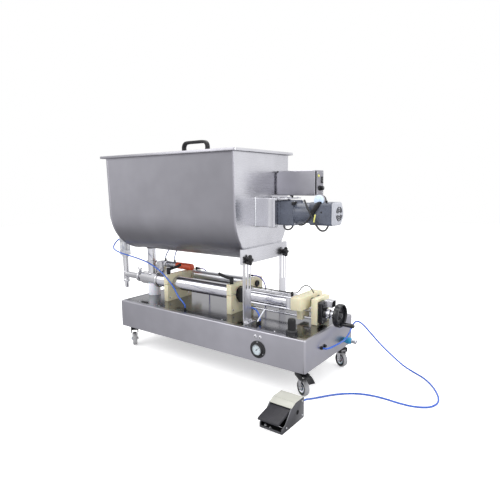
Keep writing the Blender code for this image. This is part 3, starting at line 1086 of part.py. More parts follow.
# Free air tubes: a smooth curve through points chosen by hand
def smooth_route(points, spacing, most=60):
    """A straight lead at both ends, with an evenly spaced Catmull-Rom curve between them."""
    fine = []
    for a, b, c, d in zip(points, points[1:], points[2:], points[3:]):
        for step in range(24):
            t = step / 24
            fine.append(0.5 * (2 * b + (c - a) * t + (2 * a - 5 * b + 4 * c - d) * t * t
                               + (3 * b - a - 3 * c + d) * t ** 3))
    fine.append(points[-2])
    lengths = [0.0]
    for a, b in zip(fine, fine[1:]):
        lengths.append(lengths[-1] + (b - a).length)
    count = min(most, max(2, round(lengths[-1] / spacing)))
    route, k = [], 0
    for i in range(count + 1):
        want = lengths[-1] * i / count
        while k < len(fine) - 2 and lengths[k + 1] < want:
            k += 1
        share = (want - lengths[k]) / (lengths[k + 1] - lengths[k])
        route.append(fine[k].lerp(fine[k + 1], min(1.0, share)))
    return [points[0]] + route + [points[-1]]


def air_tube(name, points, radius):
    route = smooth_route([Vector(p) * mm for p in points], radius * 6)
    curve = bpy.data.curves.new(name, "CURVE")
    curve.dimensions = "3D"
    curve.bevel_depth = radius
    curve.bevel_resolution = 2
    curve.use_fill_caps = True
    spline = curve.splines.new("POLY")
    spline.points.add(len(route) - 1)
    for point, spot in zip(spline.points, route):
        point.co = (*spot, 1.0)
    made = bpy.data.objects.new(name, curve)
    bpy.context.scene.collection.objects.link(made)
    made.parent = machine
    curve.materials.append(MATERIALS["blue_tube"])


PEDAL_HOSE = [
    (619.3, -95, 190), (630, -95, 190), (646, -78, 193), (658, -45, 198), (663, -8, 200),
    (664, 40, 202), (661, 90, 215), (656, 130, 231), (652, 172, 245), (654, 210, 243),
    (669, 245, 219), (702, 275, 169), (745, 300, 113), (798, 320, 60), (852, 326, 20),
    (905, 311, 5.5), (962, 272, 4.6), (1008, 222, 4.6), (1046, 163, 4.6), (1074, 100, 4.6),
    (1082, 42, 4.6), (1062, -8, 4.6), (1010, -38, 4.6), (950, -44, 4.6), (880, -40, 4.6),
    (815, -48, 4.6), (756, -74, 4.6), (704, -120, 4.6), (664, -176, 5.5), (645, -232, 14),
    (640, -290, 31), (640, -330, 36), (640, -354.7, 36)]
FRONT_TUBE = [
    (-857.3, -38, 582), (-868, -38, 582), (-886, -46, 566), (-889, -62, 545), (-864, -84, 529),
    (-810, -101, 518), (-740, -113, 510), (-661, -122, 504), (-569, -133, 496), (-475, -143, 482),
    (-387, -152, 456), (-316, -160, 421), (-255, -166, 376), (-213, -171, 328),
    (-180, -176, 308), (-160, -178, 292), (-157, -178, 284), (-157, -178, 275.3)]


# The whole machine
cabinet()
for place_name, (side_x, side_y, yaw) in CASTERS.items():
    caster(place_name, side_x, side_y, yaw)
clamp_plate("clamp_plate_left", LEFT_PLATE_X, False)
clamp_plate("clamp_plate_middle", MIDDLE_PLATE_X, True)
clamp_lever("clamp_lever_left", LEFT_PLATE_X + PLATE_THICK / 2, 62)
clamp_lever("clamp_lever_middle", MIDDLE_PLATE_X + PLATE_THICK / 2, 190)
product_cylinder()
air_cylinder()
side_cylinder()
stroke_stop()
valve()
hopper()
lid()
stirrer()
supports()
mixer_drive()
control_box()
panel_items()
foot_pedal()
air_tube("pedal_hose", PEDAL_HOSE, HOSE_RADIUS)
air_tube("front_air_tube", FRONT_TUBE, AIR_TUBE_RADIUS)
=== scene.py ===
"""Studio view of the piston filling machine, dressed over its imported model."""
import math

import bmesh
import bpy
from mathutils import Matrix, Vector

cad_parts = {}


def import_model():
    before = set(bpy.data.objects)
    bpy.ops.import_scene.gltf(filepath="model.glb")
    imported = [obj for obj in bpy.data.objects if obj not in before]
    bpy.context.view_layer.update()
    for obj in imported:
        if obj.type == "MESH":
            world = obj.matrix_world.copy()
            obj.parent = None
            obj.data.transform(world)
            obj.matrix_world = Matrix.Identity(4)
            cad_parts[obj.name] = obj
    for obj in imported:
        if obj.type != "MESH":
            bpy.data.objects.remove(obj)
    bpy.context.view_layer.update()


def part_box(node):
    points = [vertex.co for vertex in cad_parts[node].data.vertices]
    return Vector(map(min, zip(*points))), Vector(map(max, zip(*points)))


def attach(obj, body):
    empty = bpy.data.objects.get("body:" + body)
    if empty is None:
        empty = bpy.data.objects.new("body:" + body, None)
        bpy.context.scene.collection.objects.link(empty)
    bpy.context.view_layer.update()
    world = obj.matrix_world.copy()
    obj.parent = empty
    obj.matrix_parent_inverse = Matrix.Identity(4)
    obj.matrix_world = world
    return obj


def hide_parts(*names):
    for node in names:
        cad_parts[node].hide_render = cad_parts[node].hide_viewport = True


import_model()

mm = 0.001
FRAME = "machine_frame"

# Machine coordinates, in millimetres from the floor under the middle of the cabinet
PLATE_X = -390.0                       # left face of the left clamp plate
HOME = Vector((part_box("clamp_plate_left")[0][0] - PLATE_X * mm,
               (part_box("lid")[0][1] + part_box("lid")[1][1]) / 2, 0.0))

GAP = 0.3
CABINET_X, CABINET_Y = 610.0, 245.0
CABINET_LOW, CABINET_HIGH, DECK = 115.0, 265.0, 263.0
CASTER_X, CASTER_Y = 560, 195
CASTERS = {"front_left": (-CASTER_X, -CASTER_Y, 142), "front_right": (CASTER_X, -CASTER_Y, 151),
           "rear_left": (-CASTER_X, CASTER_Y, 35), "rear_right": (CASTER_X, CASTER_Y, 155)}
LINE_Y, LINE_Z = -30.0, 360.0
MIDDLE_X, SLEEVE_X, NECK_X, NOZZLE_X = 73.0, -509.0, -572.0, -820.0
PLATE, PLATE_HIGH = 30.0, 154
SIDE_Y, SIDE_Z, SIDE_R = 117.0, 386.0, 30.0
SCREW_Y, SCREW_Z = 12, 320
GUIDE_Y, GUIDE_Z = -6, 290
RACK_Y, RACK_Z = 72, DECK + PLATE_HIGH + GAP + 20
NECK_Z = DECK + 203
REGULATOR = (524, -211)
HOPPER_X = (-691.0, 232.0)
TROUGH_Z, TROUGH_R, HOPPER_TOP, MOUTH = 772.0, 226.0, 1084.0, 233.0
SHAFT_Z = 789.0
FACE_X = HOPPER_X[1] + GAP


def world(x, y, z):
    return HOME + Vector((x, y, z)) * mm


# Materials: each one is a small network of noise, grain and wear in object space
class Net:
    """A Principled material with short calls for its nodes."""

    def __init__(self, name, color, roughness, metallic=0.0, **sockets):
        self.material = bpy.data.materials.new(name)
        self.material.use_nodes = True
        self.tree = self.material.node_tree
        self.shader = self.tree.nodes["Principled BSDF"]
        self.shader.inputs["Metallic"].default_value = metallic
        self.shader.inputs["Base Color"].default_value = (*color, 1.0)
        self.shader.inputs["Roughness"].default_value = roughness
        for key, value in sockets.items():
            self.shader.inputs[key.replace("_", " ")].default_value = value
        self.color = color
        self.material.diffuse_color = (*color, 1.0)

    def node(self, kind, **settings):
        made = self.tree.nodes.new(kind)
        for key, value in settings.items():
            setattr(made, key, value)
        return made

    def link(self, a, b):
        self.tree.links.new(a, b)

    def noise(self, stretch, scale, detail=4.0, rough=0.55):
        place = self.node("ShaderNodeTexCoord")
        bend = self.node("ShaderNodeMapping")
        bend.inputs["Scale"].default_value = stretch
        made = self.node("ShaderNodeTexNoise")
        made.inputs["Scale"].default_value = scale
        made.inputs["Detail"].default_value = detail
        made.inputs["Roughness"].default_value = rough
        self.link(place.outputs["Object"], bend.inputs["Vector"])
        self.link(bend.outputs["Vector"], made.inputs["Vector"])
        return made.outputs["Fac"]

    def spread(self, value, low, high):
        made = self.node("ShaderNodeMapRange")
        made.inputs["From Min"].default_value = 0.3
        made.inputs["From Max"].default_value = 0.7
        made.inputs["To Min"].default_value = low
        made.inputs["To Max"].default_value = high
        self.link(value, made.inputs["Value"])
        return made.outputs["Result"]

    def rough(self, value, low, high):
        self.link(self.spread(value, low, high), self.shader.inputs["Roughness"])

    def tint(self, value, dark, light):
        """The base colour, varied between two tones of itself."""
        ramp = self.node("ShaderNodeValToRGB")
        ramp.color_ramp.elements[0].position = 0.3
        ramp.color_ramp.elements[1].position = 0.7
        ramp.color_ramp.elements[0].color = (*[c * dark for c in self.color], 1.0)
        ramp.color_ramp.elements[1].color = (*[min(1.0, c * light) for c in self.color], 1.0)
        self.link(value, ramp.inputs["Fac"])
        self.link(ramp.outputs["Color"], self.shader.inputs["Base Color"])

    def bump(self, value, strength, distance=0.0004):
        made = self.node("ShaderNodeBump")
        made.inputs["Strength"].default_value = strength
        made.inputs["Distance"].default_value = distance
        self.link(value, made.inputs["Height"])
        self.link(made.outputs["Normal"], self.shader.inputs["Normal"])


def brushed(name, color, stretch, low, high, bump=0.08, dark=0.93, light=1.05):
    """Satin sheet: fine strokes along one direction over faint broad blotches."""
    net = Net(name, color, (low + high) / 2, 1.0)
    strokes = net.noise(stretch, 1.0, 3.0, 0.6)
    net.rough(strokes, low, high)
    net.tint(net.noise((1, 1, 1), 7.0, 2.0), dark, light)
    net.bump(strokes, bump)
    return net.material


def polished(name, color, low, high, bump=0.02, scale=60.0):
    net = Net(name, color, (low + high) / 2, 1.0)
    haze = net.noise((1, 1, 1), scale, 3.0)
    net.rough(haze, low, high)
    net.tint(net.noise((1, 1, 1), 9.0, 2.0), 0.95, 1.03)
    net.bump(haze, bump)
    return net.material


def moulded(name, color, low, high, grain=900.0, bump=0.12, dark=0.85, light=1.15, **sockets):
    """Plastic, rubber or paint with a fine grain and slightly worn gloss."""
    net = Net(name, color, (low + high) / 2, 0.0, **sockets)
    fine = net.noise((1, 1, 1), grain, 2.0)
    net.rough(net.noise((1, 1, 1), 35.0, 5.0, 0.65), low, high)
    net.tint(net.noise((1, 1, 1), 22.0, 4.0), dark, light)
    net.bump(fine, bump, 0.0002)
    return net.material


STEEL = brushed("satin_sheet", (0.68, 0.68, 0.71), (5, 5, 700), 0.25, 0.29, 0.006)
SHEET = brushed("hopper_sheet", (0.355, 0.35, 0.38), (5, 900, 900), 0.32, 0.38, 0.01)
CABINET = brushed("cabinet_sheet", (0.40, 0.395, 0.43), (3, 3, 900), 0.28, 0.36, 0.012)
# Polished deck sheet with a darkened base: real polish, with painted shade for the dark things it reflects
DECK_SHADED_METAL = polished("mirror_deck_painted_dark", (0.22, 0.22, 0.235), 0.14, 0.20, 0.004, 12.0)
LEG_SHEET = brushed("leg_sheet", (0.74, 0.74, 0.77), (5, 5, 700), 0.40, 0.48, 0.006)
BRIGHT = polished("bright_sheet", (0.66, 0.66, 0.69), 0.14, 0.22, 0.01)
CHROME = polished("chrome_tube", (0.56, 0.56, 0.59), 0.10, 0.16, 0.004, 90.0)
CAST = polished("cast_fitting", (0.62, 0.62, 0.64), 0.16, 0.26, 0.03, 220.0)
ALUMINIUM = brushed("anodised_block", (0.66, 0.67, 0.69), (900, 12, 900), 0.28, 0.40, 0.04)
ZINC = polished("zinc_plate", (0.62, 0.63, 0.66), 0.22, 0.36, 0.08, 300.0)
CREAM = moulded("cream_plate", (0.67, 0.625, 0.445), 0.34, 0.50, 500.0, 0.06, 0.93, 1.05,
                Subsurface_Weight=0.15, Subsurface_Scale=0.004)
WHITE = moulded("white_plastic", (0.80, 0.81, 0.87), 0.35, 0.48, 500.0, 0.05, 0.96, 1.03,
                Subsurface_Weight=0.2, Subsurface_Scale=0.006)
BLACK = moulded("black_plastic", (0.010, 0.010, 0.012), 0.26, 0.42, 1100.0, 0.12,
                Specular_IOR_Level=0.3)
GLOSS = moulded("gloss_black", (0.010, 0.010, 0.012), 0.12, 0.22, 400.0, 0.04)
TREAD = moulded("wheel_tread", (0.30, 0.30, 0.31), 0.34, 0.5, 700.0, 0.10, 0.9, 1.08)
RUBBER = moulded("tread_rubber", (0.030, 0.030, 0.032), 0.50, 0.68, 1300.0, 0.25)
ENAMEL = moulded("motor_enamel", (0.075, 0.085, 0.115), 0.22, 0.32, 350.0, 0.06)
PALE = moulded("pale_enamel", (0.36, 0.37, 0.41), 0.35, 0.48, 700.0, 0.08, 0.94, 1.04)
ICE = moulded("pale_blue_cap", (0.55, 0.66, 0.83), 0.28, 0.36, 500.0, 0.03, 0.97, 1.03)
BLUE = moulded("air_tube_blue", (0.03, 0.10, 0.44), 0.14, 0.22, 200.0, 0.02, 0.94, 1.08,
               Subsurface_Weight=0.25, Subsurface_Scale=0.003)
VIOLET = moulded("air_tube_violet", (0.10, 0.08, 0.42), 0.18, 0.28, 200.0, 0.02, 0.94, 1.08)
CLEAR = moulded("air_tube_white", (0.72, 0.74, 0.80), 0.14, 0.22, 200.0, 0.02, 0.97, 1.03)
ORANGE = moulded("orange_red", (0.62, 0.085, 0.03), 0.28, 0.40, 400.0, 0.05, 0.92, 1.06)
TEAL = moulded("valve_blue", (0.02, 0.25, 0.46), 0.20, 0.34, 500.0, 0.08, 0.9, 1.1)
CABLE = moulded("cable_sheath", (0.018, 0.018, 0.02), 0.34, 0.46, 300.0, 0.03)
STRIPE = moulded("earth_lead", (0.62, 0.60, 0.16), 0.32, 0.42, 300.0, 0.02, 0.95, 1.04)
DIAL = moulded("dial_face", (0.50, 0.56, 0.60), 0.30, 0.40, 900.0, 0.01, 0.98, 1.01)
CASTING = polished("die_casting", (0.12, 0.12, 0.13), 0.12, 0.22, 0.04, 260.0)
COVER = moulded("pedal_cover", (0.43, 0.43, 0.385), 0.30, 0.42, 500.0, 0.03, 0.96, 1.03)
GRIP_RUBBER = moulded("treadle_rubber", (0.014, 0.013, 0.018), 0.46, 0.6, 700.0, 0.15)
# Near-black finish: painted shade in screw sockets, pedal ports, fan vents, the control box gap and the
# pedal's inner floor, and the own black of the counter window and the sleeve joint line
DARK = moulded("black_and_painted_shade", (0.006, 0.006, 0.007), 0.6, 0.8, 500.0, 0.02,
               Specular_IOR_Level=0.08)


# Shapes in machine millimetres: each is its points and its faces
CORNERS = [(a, b) for a in (-1, 1) for b in (-1, 1)]


def on_axis(axis, along, u, v):
    return {"x": (along, u, v), "y": (u, along, v), "z": (u, v, along)}[axis]


def around(count):
    return [2 * math.pi * i / count for i in range(count)]


def arc(u, v, radius, start, end, steps):
    angles = [math.radians(start + (end - start) * i / steps) for i in range(steps + 1)]
    return [(u + radius * math.cos(a), v + radius * math.sin(a)) for a in angles]


def circle(u, v, radius, sides=56):
    return arc(u, v, radius, 0, 360 - 360 / sides, sides - 1)


def rounded(u0, u1, v0, v1, radius, steps=8):
    radius = min(radius, 0.49 * (u1 - u0), 0.49 * (v1 - v0))
    return (arc(u1 - radius, v1 - radius, radius, 0, 90, steps)
            + arc(u0 + radius, v1 - radius, radius, 90, 180, steps)
            + arc(u0 + radius, v0 + radius, radius, 180, 270, steps)
            + arc(u1 - radius, v0 + radius, radius, 270, 360, steps))


def slotted(u, v0, v1, width, steps=10):
    half = width / 2
    return arc(u, v1 - half, half, 0, 180, steps) + arc(u, v0 + half, half, 180, 360, steps)


def prism(axis, outline, start, end):
    n = len(outline)
    verts = [on_axis(axis, a, u, v) for a in (start, end) for u, v in outline]
    faces = [tuple(range(n)), tuple(range(n, 2 * n))]
    return verts, faces + [(i, (i + 1) % n, (i + 1) % n + n, i + n) for i in range(n)]


def block(x0, x1, y0, y1, z0, z1):
    return prism("z", [(x0, y0), (x1, y0), (x1, y1), (x0, y1)], z0, z1)


def ring_stack(rings, closed=False):
    """Outlines with the same number of points, joined in a row with two ends, or in a circle."""
    n, count = len(rings[0]), len(rings)
    verts = [v for ring in rings for v in ring]
    faces = []
    for i in range(count if closed else count - 1):
        here, there = i * n, (i + 1) % count * n
        faces += [(here + k, here + (k + 1) % n, there + (k + 1) % n, there + k) for k in range(n)]
    if not closed:
        faces += [tuple(range(n)), tuple(range((count - 1) * n, count * n))]
    return verts, faces


def layered(axis, sides, layers, radius, steps=8, at=0.0):
    """A rounded block by layers: (along from at, inset from its four sides, own radius if any)."""
    u0, u1, v0, v1 = sides
    rings = []
    for along, inset, *own in layers:
        outline = rounded(u0 + inset, u1 - inset, v0 + inset, v1 - inset,
                          own[0] if own else radius, steps)
        rings.append([on_axis(axis, at + along, u, v) for u, v in outline])
    return ring_stack(rings)


def lobed(axis, u, v, layers, depth, count, steps=14, at=0.0):
    """A star or a knurled knob by layers: (along from at, outer radius)."""
    rings = []
    for along, outer in layers:
        ring = []
        for angle in around(count * steps):
            radius = outer - depth + depth * (0.5 + 0.5 * math.cos(count * angle)) ** 0.6
            ring.append(on_axis(axis, at + along, u + radius * math.cos(angle),
                                v + radius * math.sin(angle)))
        rings.append(ring)
    return ring_stack(rings)


def turned(axis, u, v, profile, sides=56, at=0.0):
    """A profile of (along from at, radius) round an axis: solid where both its ends are on it."""
    solid = profile[0][1] == 0 and profile[-1][1] == 0
    return ring_stack([[on_axis(axis, at + along, u + radius * math.cos(a), v + radius * math.sin(a))
                        for a in around(sides)]
                       for along, radius in (profile[1:-1] if solid else profile)], not solid)


def rod(axis, u, v, radius, start, end, sides=40):
    """A round bar with a small chamfer at both ends."""
    edge = min(0.8, radius * 0.2) * (1 if end > start else -1)
    return turned(axis, u, v, [(start, 0), (start, radius - abs(edge)), (start + edge, radius),
                               (end - edge, radius), (end, radius - abs(edge)), (end, 0)], sides)


def screw(axis, u, v, face, out, radius=4.5, height=2.6, sides=20):
    """A low dome head that stands out of a face, with a socket in it."""
    top = height * out
    return turned(axis, u, v, [
        (-0.4 * out, 0), (-0.4 * out, radius), (0.4 * top, radius), (0.8 * top, radius * 0.8),
        (top, radius * 0.5), (0.45 * top, radius * 0.42), (0.45 * top, 0)], sides, face)


def hexagon(axis, u, v, face, out, across=10.0, height=5.0, turn=0.0):
    reach = across / math.sqrt(3)
    angles = [math.radians(60 * k + turn) for k in range(6)]
    return prism(axis, [(u + reach * math.cos(a), v + reach * math.sin(a)) for a in angles],
                 *sorted((face - 0.4 * out, face + height * out)))


def wing(x, foot, shoulder, ear, radius, start, end, dip):
    """A wing nut's outline: foot, shoulders, and two round ears with a dip between them."""
    return ([(x - 5, foot), (x + 5, foot), (x + shoulder[0], shoulder[1])]
            + arc(x + ear[0], ear[1], radius, start, end, 8) + [(x, dip)]
            + arc(x - ear[0], ear[1], radius, 180 - end, 180 - start, 8)
            + [(x - shoulder[0], shoulder[1])])


def catmull_rom(spots, steps):
    """Points on the smooth curve through the spots, from the second to the last but one."""
    fine = []
    for a, b, c, d in zip(spots, spots[1:], spots[2:], spots[3:]):
        for step in range(steps):
            t = step / steps
            fine.append(0.5 * (2 * b + (c - a) * t + (2 * a - 5 * b + 4 * c - d) * t * t
                               + (3 * b - a - 3 * c + d) * t ** 3))
    return fine + [spots[-2]]


def smooth(points, spacing):
    """Even points on a smooth curve through the given ones."""
    spots = [Vector(p) for p in points]
    fine = catmull_rom([spots[0] * 2 - spots[1]] + spots + [spots[-1] * 2 - spots[-2]], 24)
    lengths = [0.0]
    for a, b in zip(fine, fine[1:]):
        lengths.append(lengths[-1] + (b - a).length)
    count = max(4, round(lengths[-1] / spacing))
    route, k = [], 0
    for i in range(count + 1):
        want = lengths[-1] * i / count
        while k < len(fine) - 2 and lengths[k + 1] < want:
            k += 1
        share = (want - lengths[k]) / max(1e-9, lengths[k + 1] - lengths[k])
        route.append(fine[k].lerp(fine[k + 1], min(1.0, share)))
    return route


def heading(path, i):
    return (path[min(i + 1, len(path) - 1)] - path[max(i - 1, 0)]).normalized()


def swept(points, radius, sides=14):
    """A round tube along a smooth line, without twist."""
    path = smooth(points, max(1.2 * radius, 2.0))
    side = Vector((0, 0, 1)).cross(path[1] - path[0])
    side = (side if side.length > 1e-6 else Vector((1, 0, 0))).normalized()
    rings = []
    for i, spot in enumerate(path):
        ahead = heading(path, i)
        side = (side - ahead * side.dot(ahead)).normalized()
        up = ahead.cross(side)
        rings.append([tuple(spot + (side * math.cos(a) + up * math.sin(a)) * radius)
                      for a in around(sides)])
    return ring_stack(rings)


def moved(shape, matrix):
    verts, faces = shape
    return [tuple(matrix @ Vector(v)) for v in verts], faces


def yawed(x, y, degrees):
    """A turn about the upright line through a point."""
    return (Matrix.Translation((x, y, 0)) @ Matrix.Rotation(math.radians(degrees), 4, "Z")
            @ Matrix.Translation((-x, -y, 0)))


# Pieces
def linked(name, data):
    obj = bpy.data.objects.new(name, data)
    bpy.context.scene.collection.objects.link(obj)
    return obj


def mesh_of(shapes, name):
    bm = bmesh.new()
    for verts, faces in shapes:
        made = [bm.verts.new(world(*v)) for v in verts]
        grown = [bm.faces.new([made[i] for i in face]) for face in faces]
        bmesh.ops.recalc_face_normals(bm, faces=grown)
    mesh = bpy.data.meshes.new(name)
    bm.to_mesh(mesh)
    bm.free()
    return mesh


def baked(obj):
    """The object's modifiers turned into plain mesh."""
    deps = bpy.context.evaluated_depsgraph_get()
    fresh = bpy.data.meshes.new_from_object(obj.evaluated_get(deps), depsgraph=deps)
    obj.modifiers.clear()
    obj.data = fresh


def dressed(obj, finishes, paint, body, nodes):
    """Materials by face, smooth shading, and the body that carries the piece."""
    obj.data.materials.clear()
    for finish in finishes:
        obj.data.materials.append(finish)
    obj.data.shade_smooth()
    obj.data.set_sharp_from_angle(angle=math.radians(30))
    if paint:
        for face in obj.data.polygons:
            face.material_index = paint((face.center - HOME) / mm, face.normal)
    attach(obj, body)
    if nodes:
        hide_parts(*nodes)


def piece(name, body, finish, shapes, cuts=(), nodes=(), edge=0.0, segments=2, angle=34,
          paint=None, extra=()):
    """A visible piece: shells side by side, less its cuts, with its edges rounded."""
    obj = linked(name, mesh_of(shapes, name))
    if cuts:
        helpers = [linked(f"{name}_cut_{number}", mesh_of([cut], "cut"))
                   for number, cut in enumerate(cuts)]
        for helper in helpers:
            change = obj.modifiers.new("cut", "BOOLEAN")
            change.operation, change.solver, change.object = "DIFFERENCE", "EXACT", helper
            change.use_self = len(shapes) > 1
        baked(obj)
        for helper in helpers:
            bpy.data.objects.remove(helper, do_unlink=True)
    if edge:
        change = obj.modifiers.new("edge", "BEVEL")
        change.width, change.segments, change.limit_method = edge * mm, segments, "ANGLE"
        change.angle_limit = math.radians(angle)
        baked(obj)
    dressed(obj, (finish, *extra), paint, body, nodes)


# Camera, matched to the photograph
CAMERA_AT = (1498.84, -1845.09, 923.27)
YAW, PITCH, ROLL = math.radians(36.246), math.radians(8.334), math.radians(-0.509)
SENSOR = 36.0
FOCAL = 448.07 / 500 * SENSOR

forward = Vector((-math.sin(YAW) * math.cos(PITCH), math.cos(YAW) * math.cos(PITCH),
                  -math.sin(PITCH)))
right = Vector((math.cos(YAW), math.sin(YAW), 0))
above = right.cross(forward)
view_right = right * math.cos(ROLL) + above * math.sin(ROLL)
view_up = above * math.cos(ROLL) - right * math.sin(ROLL)
lens = bpy.data.cameras.new("camera")
lens.lens, lens.sensor_width, lens.clip_end = FOCAL, SENSOR, 60
camera = linked("camera", lens)
camera.matrix_world = Matrix.Translation(world(*CAMERA_AT)) @ Matrix(
    (view_right, view_up, -forward)).transposed().to_4x4()
bpy.context.scene.camera = camera

# Free air tubes: the same points as in the part's own source
PEDAL_HOSE = [
    (619.3, -95, 190), (630, -95, 190), (646, -78, 193), (658, -45, 198), (663, -8, 200),
    (664, 40, 202), (661, 90, 215), (656, 130, 231), (652, 172, 245), (654, 210, 243),
    (669, 245, 219), (702, 275, 169), (745, 300, 113), (798, 320, 60), (852, 326, 20),
    (905, 311, 5.5), (962, 272, 4.6), (1008, 222, 4.6), (1046, 163, 4.6), (1074, 100, 4.6),
    (1082, 42, 4.6), (1062, -8, 4.6), (1010, -38, 4.6), (950, -44, 4.6), (880, -40, 4.6),
    (815, -48, 4.6), (756, -74, 4.6), (704, -120, 4.6), (664, -176, 5.5), (645, -232, 14),
    (640, -290, 31), (640, -330, 36), (640, -354.7, 36)]
FRONT_TUBE = [
    (-857.3, -38, 582), (-868, -38, 582), (-886, -46, 566), (-889, -62, 545), (-864, -84, 529),
    (-810, -101, 518), (-740, -113, 510), (-661, -122, 504), (-569, -133, 496), (-475, -143, 482),
    (-387, -152, 456), (-316, -160, 421), (-255, -166, 376), (-213, -171, 328),
    (-180, -176, 308), (-160, -178, 292), (-157, -178, 284), (-157, -178, 275.3)]
TUBE_RADIUS = 4.0


def air_tube(name, node, points):
    """A declared free tube: a straight lead at both ends and an even smooth curve between."""
    spots = [Vector(p) for p in points]
    route = [spots[0]] + catmull_rom(spots, 10) + [spots[-1]]
    curve = bpy.data.curves.new(name, "CURVE")
    curve.dimensions = "3D"
    curve.bevel_depth = TUBE_RADIUS * mm
    curve.bevel_resolution = 5
    curve.use_fill_caps = True
    spline = curve.splines.new("POLY")
    spline.points.add(len(route) - 1)
    for point, spot in zip(spline.points, route):
        point.co = (*world(*spot), 1.0)
    spline.use_smooth = True
    curve.materials.append(BLUE)
    obj = linked(name, curve)
    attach(obj, FRAME)
    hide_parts(node)


air_tube("pedal_air_hose", "pedal_hose", PEDAL_HOSE)
air_tube("front_air_line", "front_air_tube", FRONT_TUBE)


# Cabinet
def cabinet():
    def ring(dx, dy, radius, z):
        return [(u, v, z) for u, v in rounded(-CABINET_X + dx, CABINET_X - dx, -CABINET_Y + dy,
                                              CABINET_Y - dy, radius)]
    rings = [ring(3, 3, 8, DECK - 3), ring(3, 3, 8, CABINET_LOW + 3),
             ring(30, 30, 5, CABINET_LOW + 3), ring(30, 30, 5, CABINET_LOW),
             ring(1.5, 1.5, 9, CABINET_LOW), ring(0, 0, 10, CABINET_LOW + 1.5),
             ring(0, 0, 10, CABINET_HIGH - 7), ring(0.7, 0.7, 10, CABINET_HIGH - 4),
             ring(2.2, 2.2, 9, CABINET_HIGH - 1.6), ring(4.5, 4.5, 8, CABINET_HIGH - 0.3),
             ring(7, 7, 8, CABINET_HIGH), ring(10, 26, 7, CABINET_HIGH),
             ring(11.6, 27.6, 6, CABINET_HIGH - 0.6), ring(12, 28, 6, DECK)]
    shapes = [ring_stack(rings)]
    for sx, sy in CORNERS:
        x, y = sx * CASTER_X, sy * CASTER_Y
        shapes.append(prism("z", rounded(x - 39, x + 39, y - 30, y + 30, 6), 112, 115.5))
        shapes += [hexagon("z", x + a * 28, y + b * 20, 112.2, -1, 9, 0.2) for a, b in CORNERS]
    # The deck's top faces take the polished sheet, far darker than the sides: real polish plus a painted
    # dark reflection
    piece("cabinet_shell", FRAME, CABINET, shapes, nodes=("base_cabinet",), extra=(DECK_SHADED_METAL,),
          paint=lambda c, n: 1 if n.z > 0.9 and abs(c.z - DECK) < 0.5 else 0)
    for number, (x, y) in enumerate(((-500, -196), (-330, -204), (120, -203), (430, -205),
                                     (-500, 200), (0, 200), (500, 200)), 2):
        piece(f"deck_screw_{number}", FRAME, BRIGHT, [screw("z", x, y, DECK, 1, 4.5, 2.2)])
    piece("deck_plug", FRAME, BLACK, [
        layered("z", (-486, -436, -200, -184), [(0, 0), (2, 0), (3.5, 2)], 8, at=DECK)])
    for number, x in enumerate((351.5, 378.5)):
        piece(f"panel_screw_{number}", FRAME, BRIGHT, [
            turned("y", x, 235, [(-0.2, 0), (-0.2, 9), (-1, 9.5), (-2, 8), (-2.2, 0)], 32,
                   -CABINET_Y),
            screw("y", x, 235, -CABINET_Y - 2, -1, 5.5, 2)])
        # Painted shade: a near-black plug in each screw's socket hole
        piece(f"panel_socket_{number}", FRAME, DARK, [
            turned("y", x, 235, [(-1, 0), (-1, 2.6), (-3.6, 2.6), (-3.6, 0)], 20, -CABINET_Y)])
    piece("hose_fitting_side", FRAME, BLACK, [turned("x", -95, 190, [
        (-1, 0), (-1, 9), (1.5, 9), (2, 7), (9, 7), (9, 4.6), (6, 4.3), (6, 0)], 32, CABINET_X)])
    piece("blank_fitting_side", FRAME, BLACK, [turned("x", -63, 190, [
        (-1, 0), (-1, 9), (1.5, 9), (2, 7), (8, 7), (9, 6), (9, 0)], 32, CABINET_X)])
    piece("hose_fitting_deck", FRAME, BLACK, [turned("z", -157, -178, [
        (0, 0), (0, 8.5), (3, 8.5), (3.4, 7), (11, 7), (12, 6.2), (12, 4.4), (9, 4.3), (9, 0)],
        32, DECK)])
    piece("regulator_base", FRAME, GLOSS, [turned("z", *REGULATOR, [
        (0, 0), (0, 27), (3, 27), (5, 25.5), (18, 25.5), (20, 27), (24, 27), (30, 21), (30, 0)],
        at=DECK)])


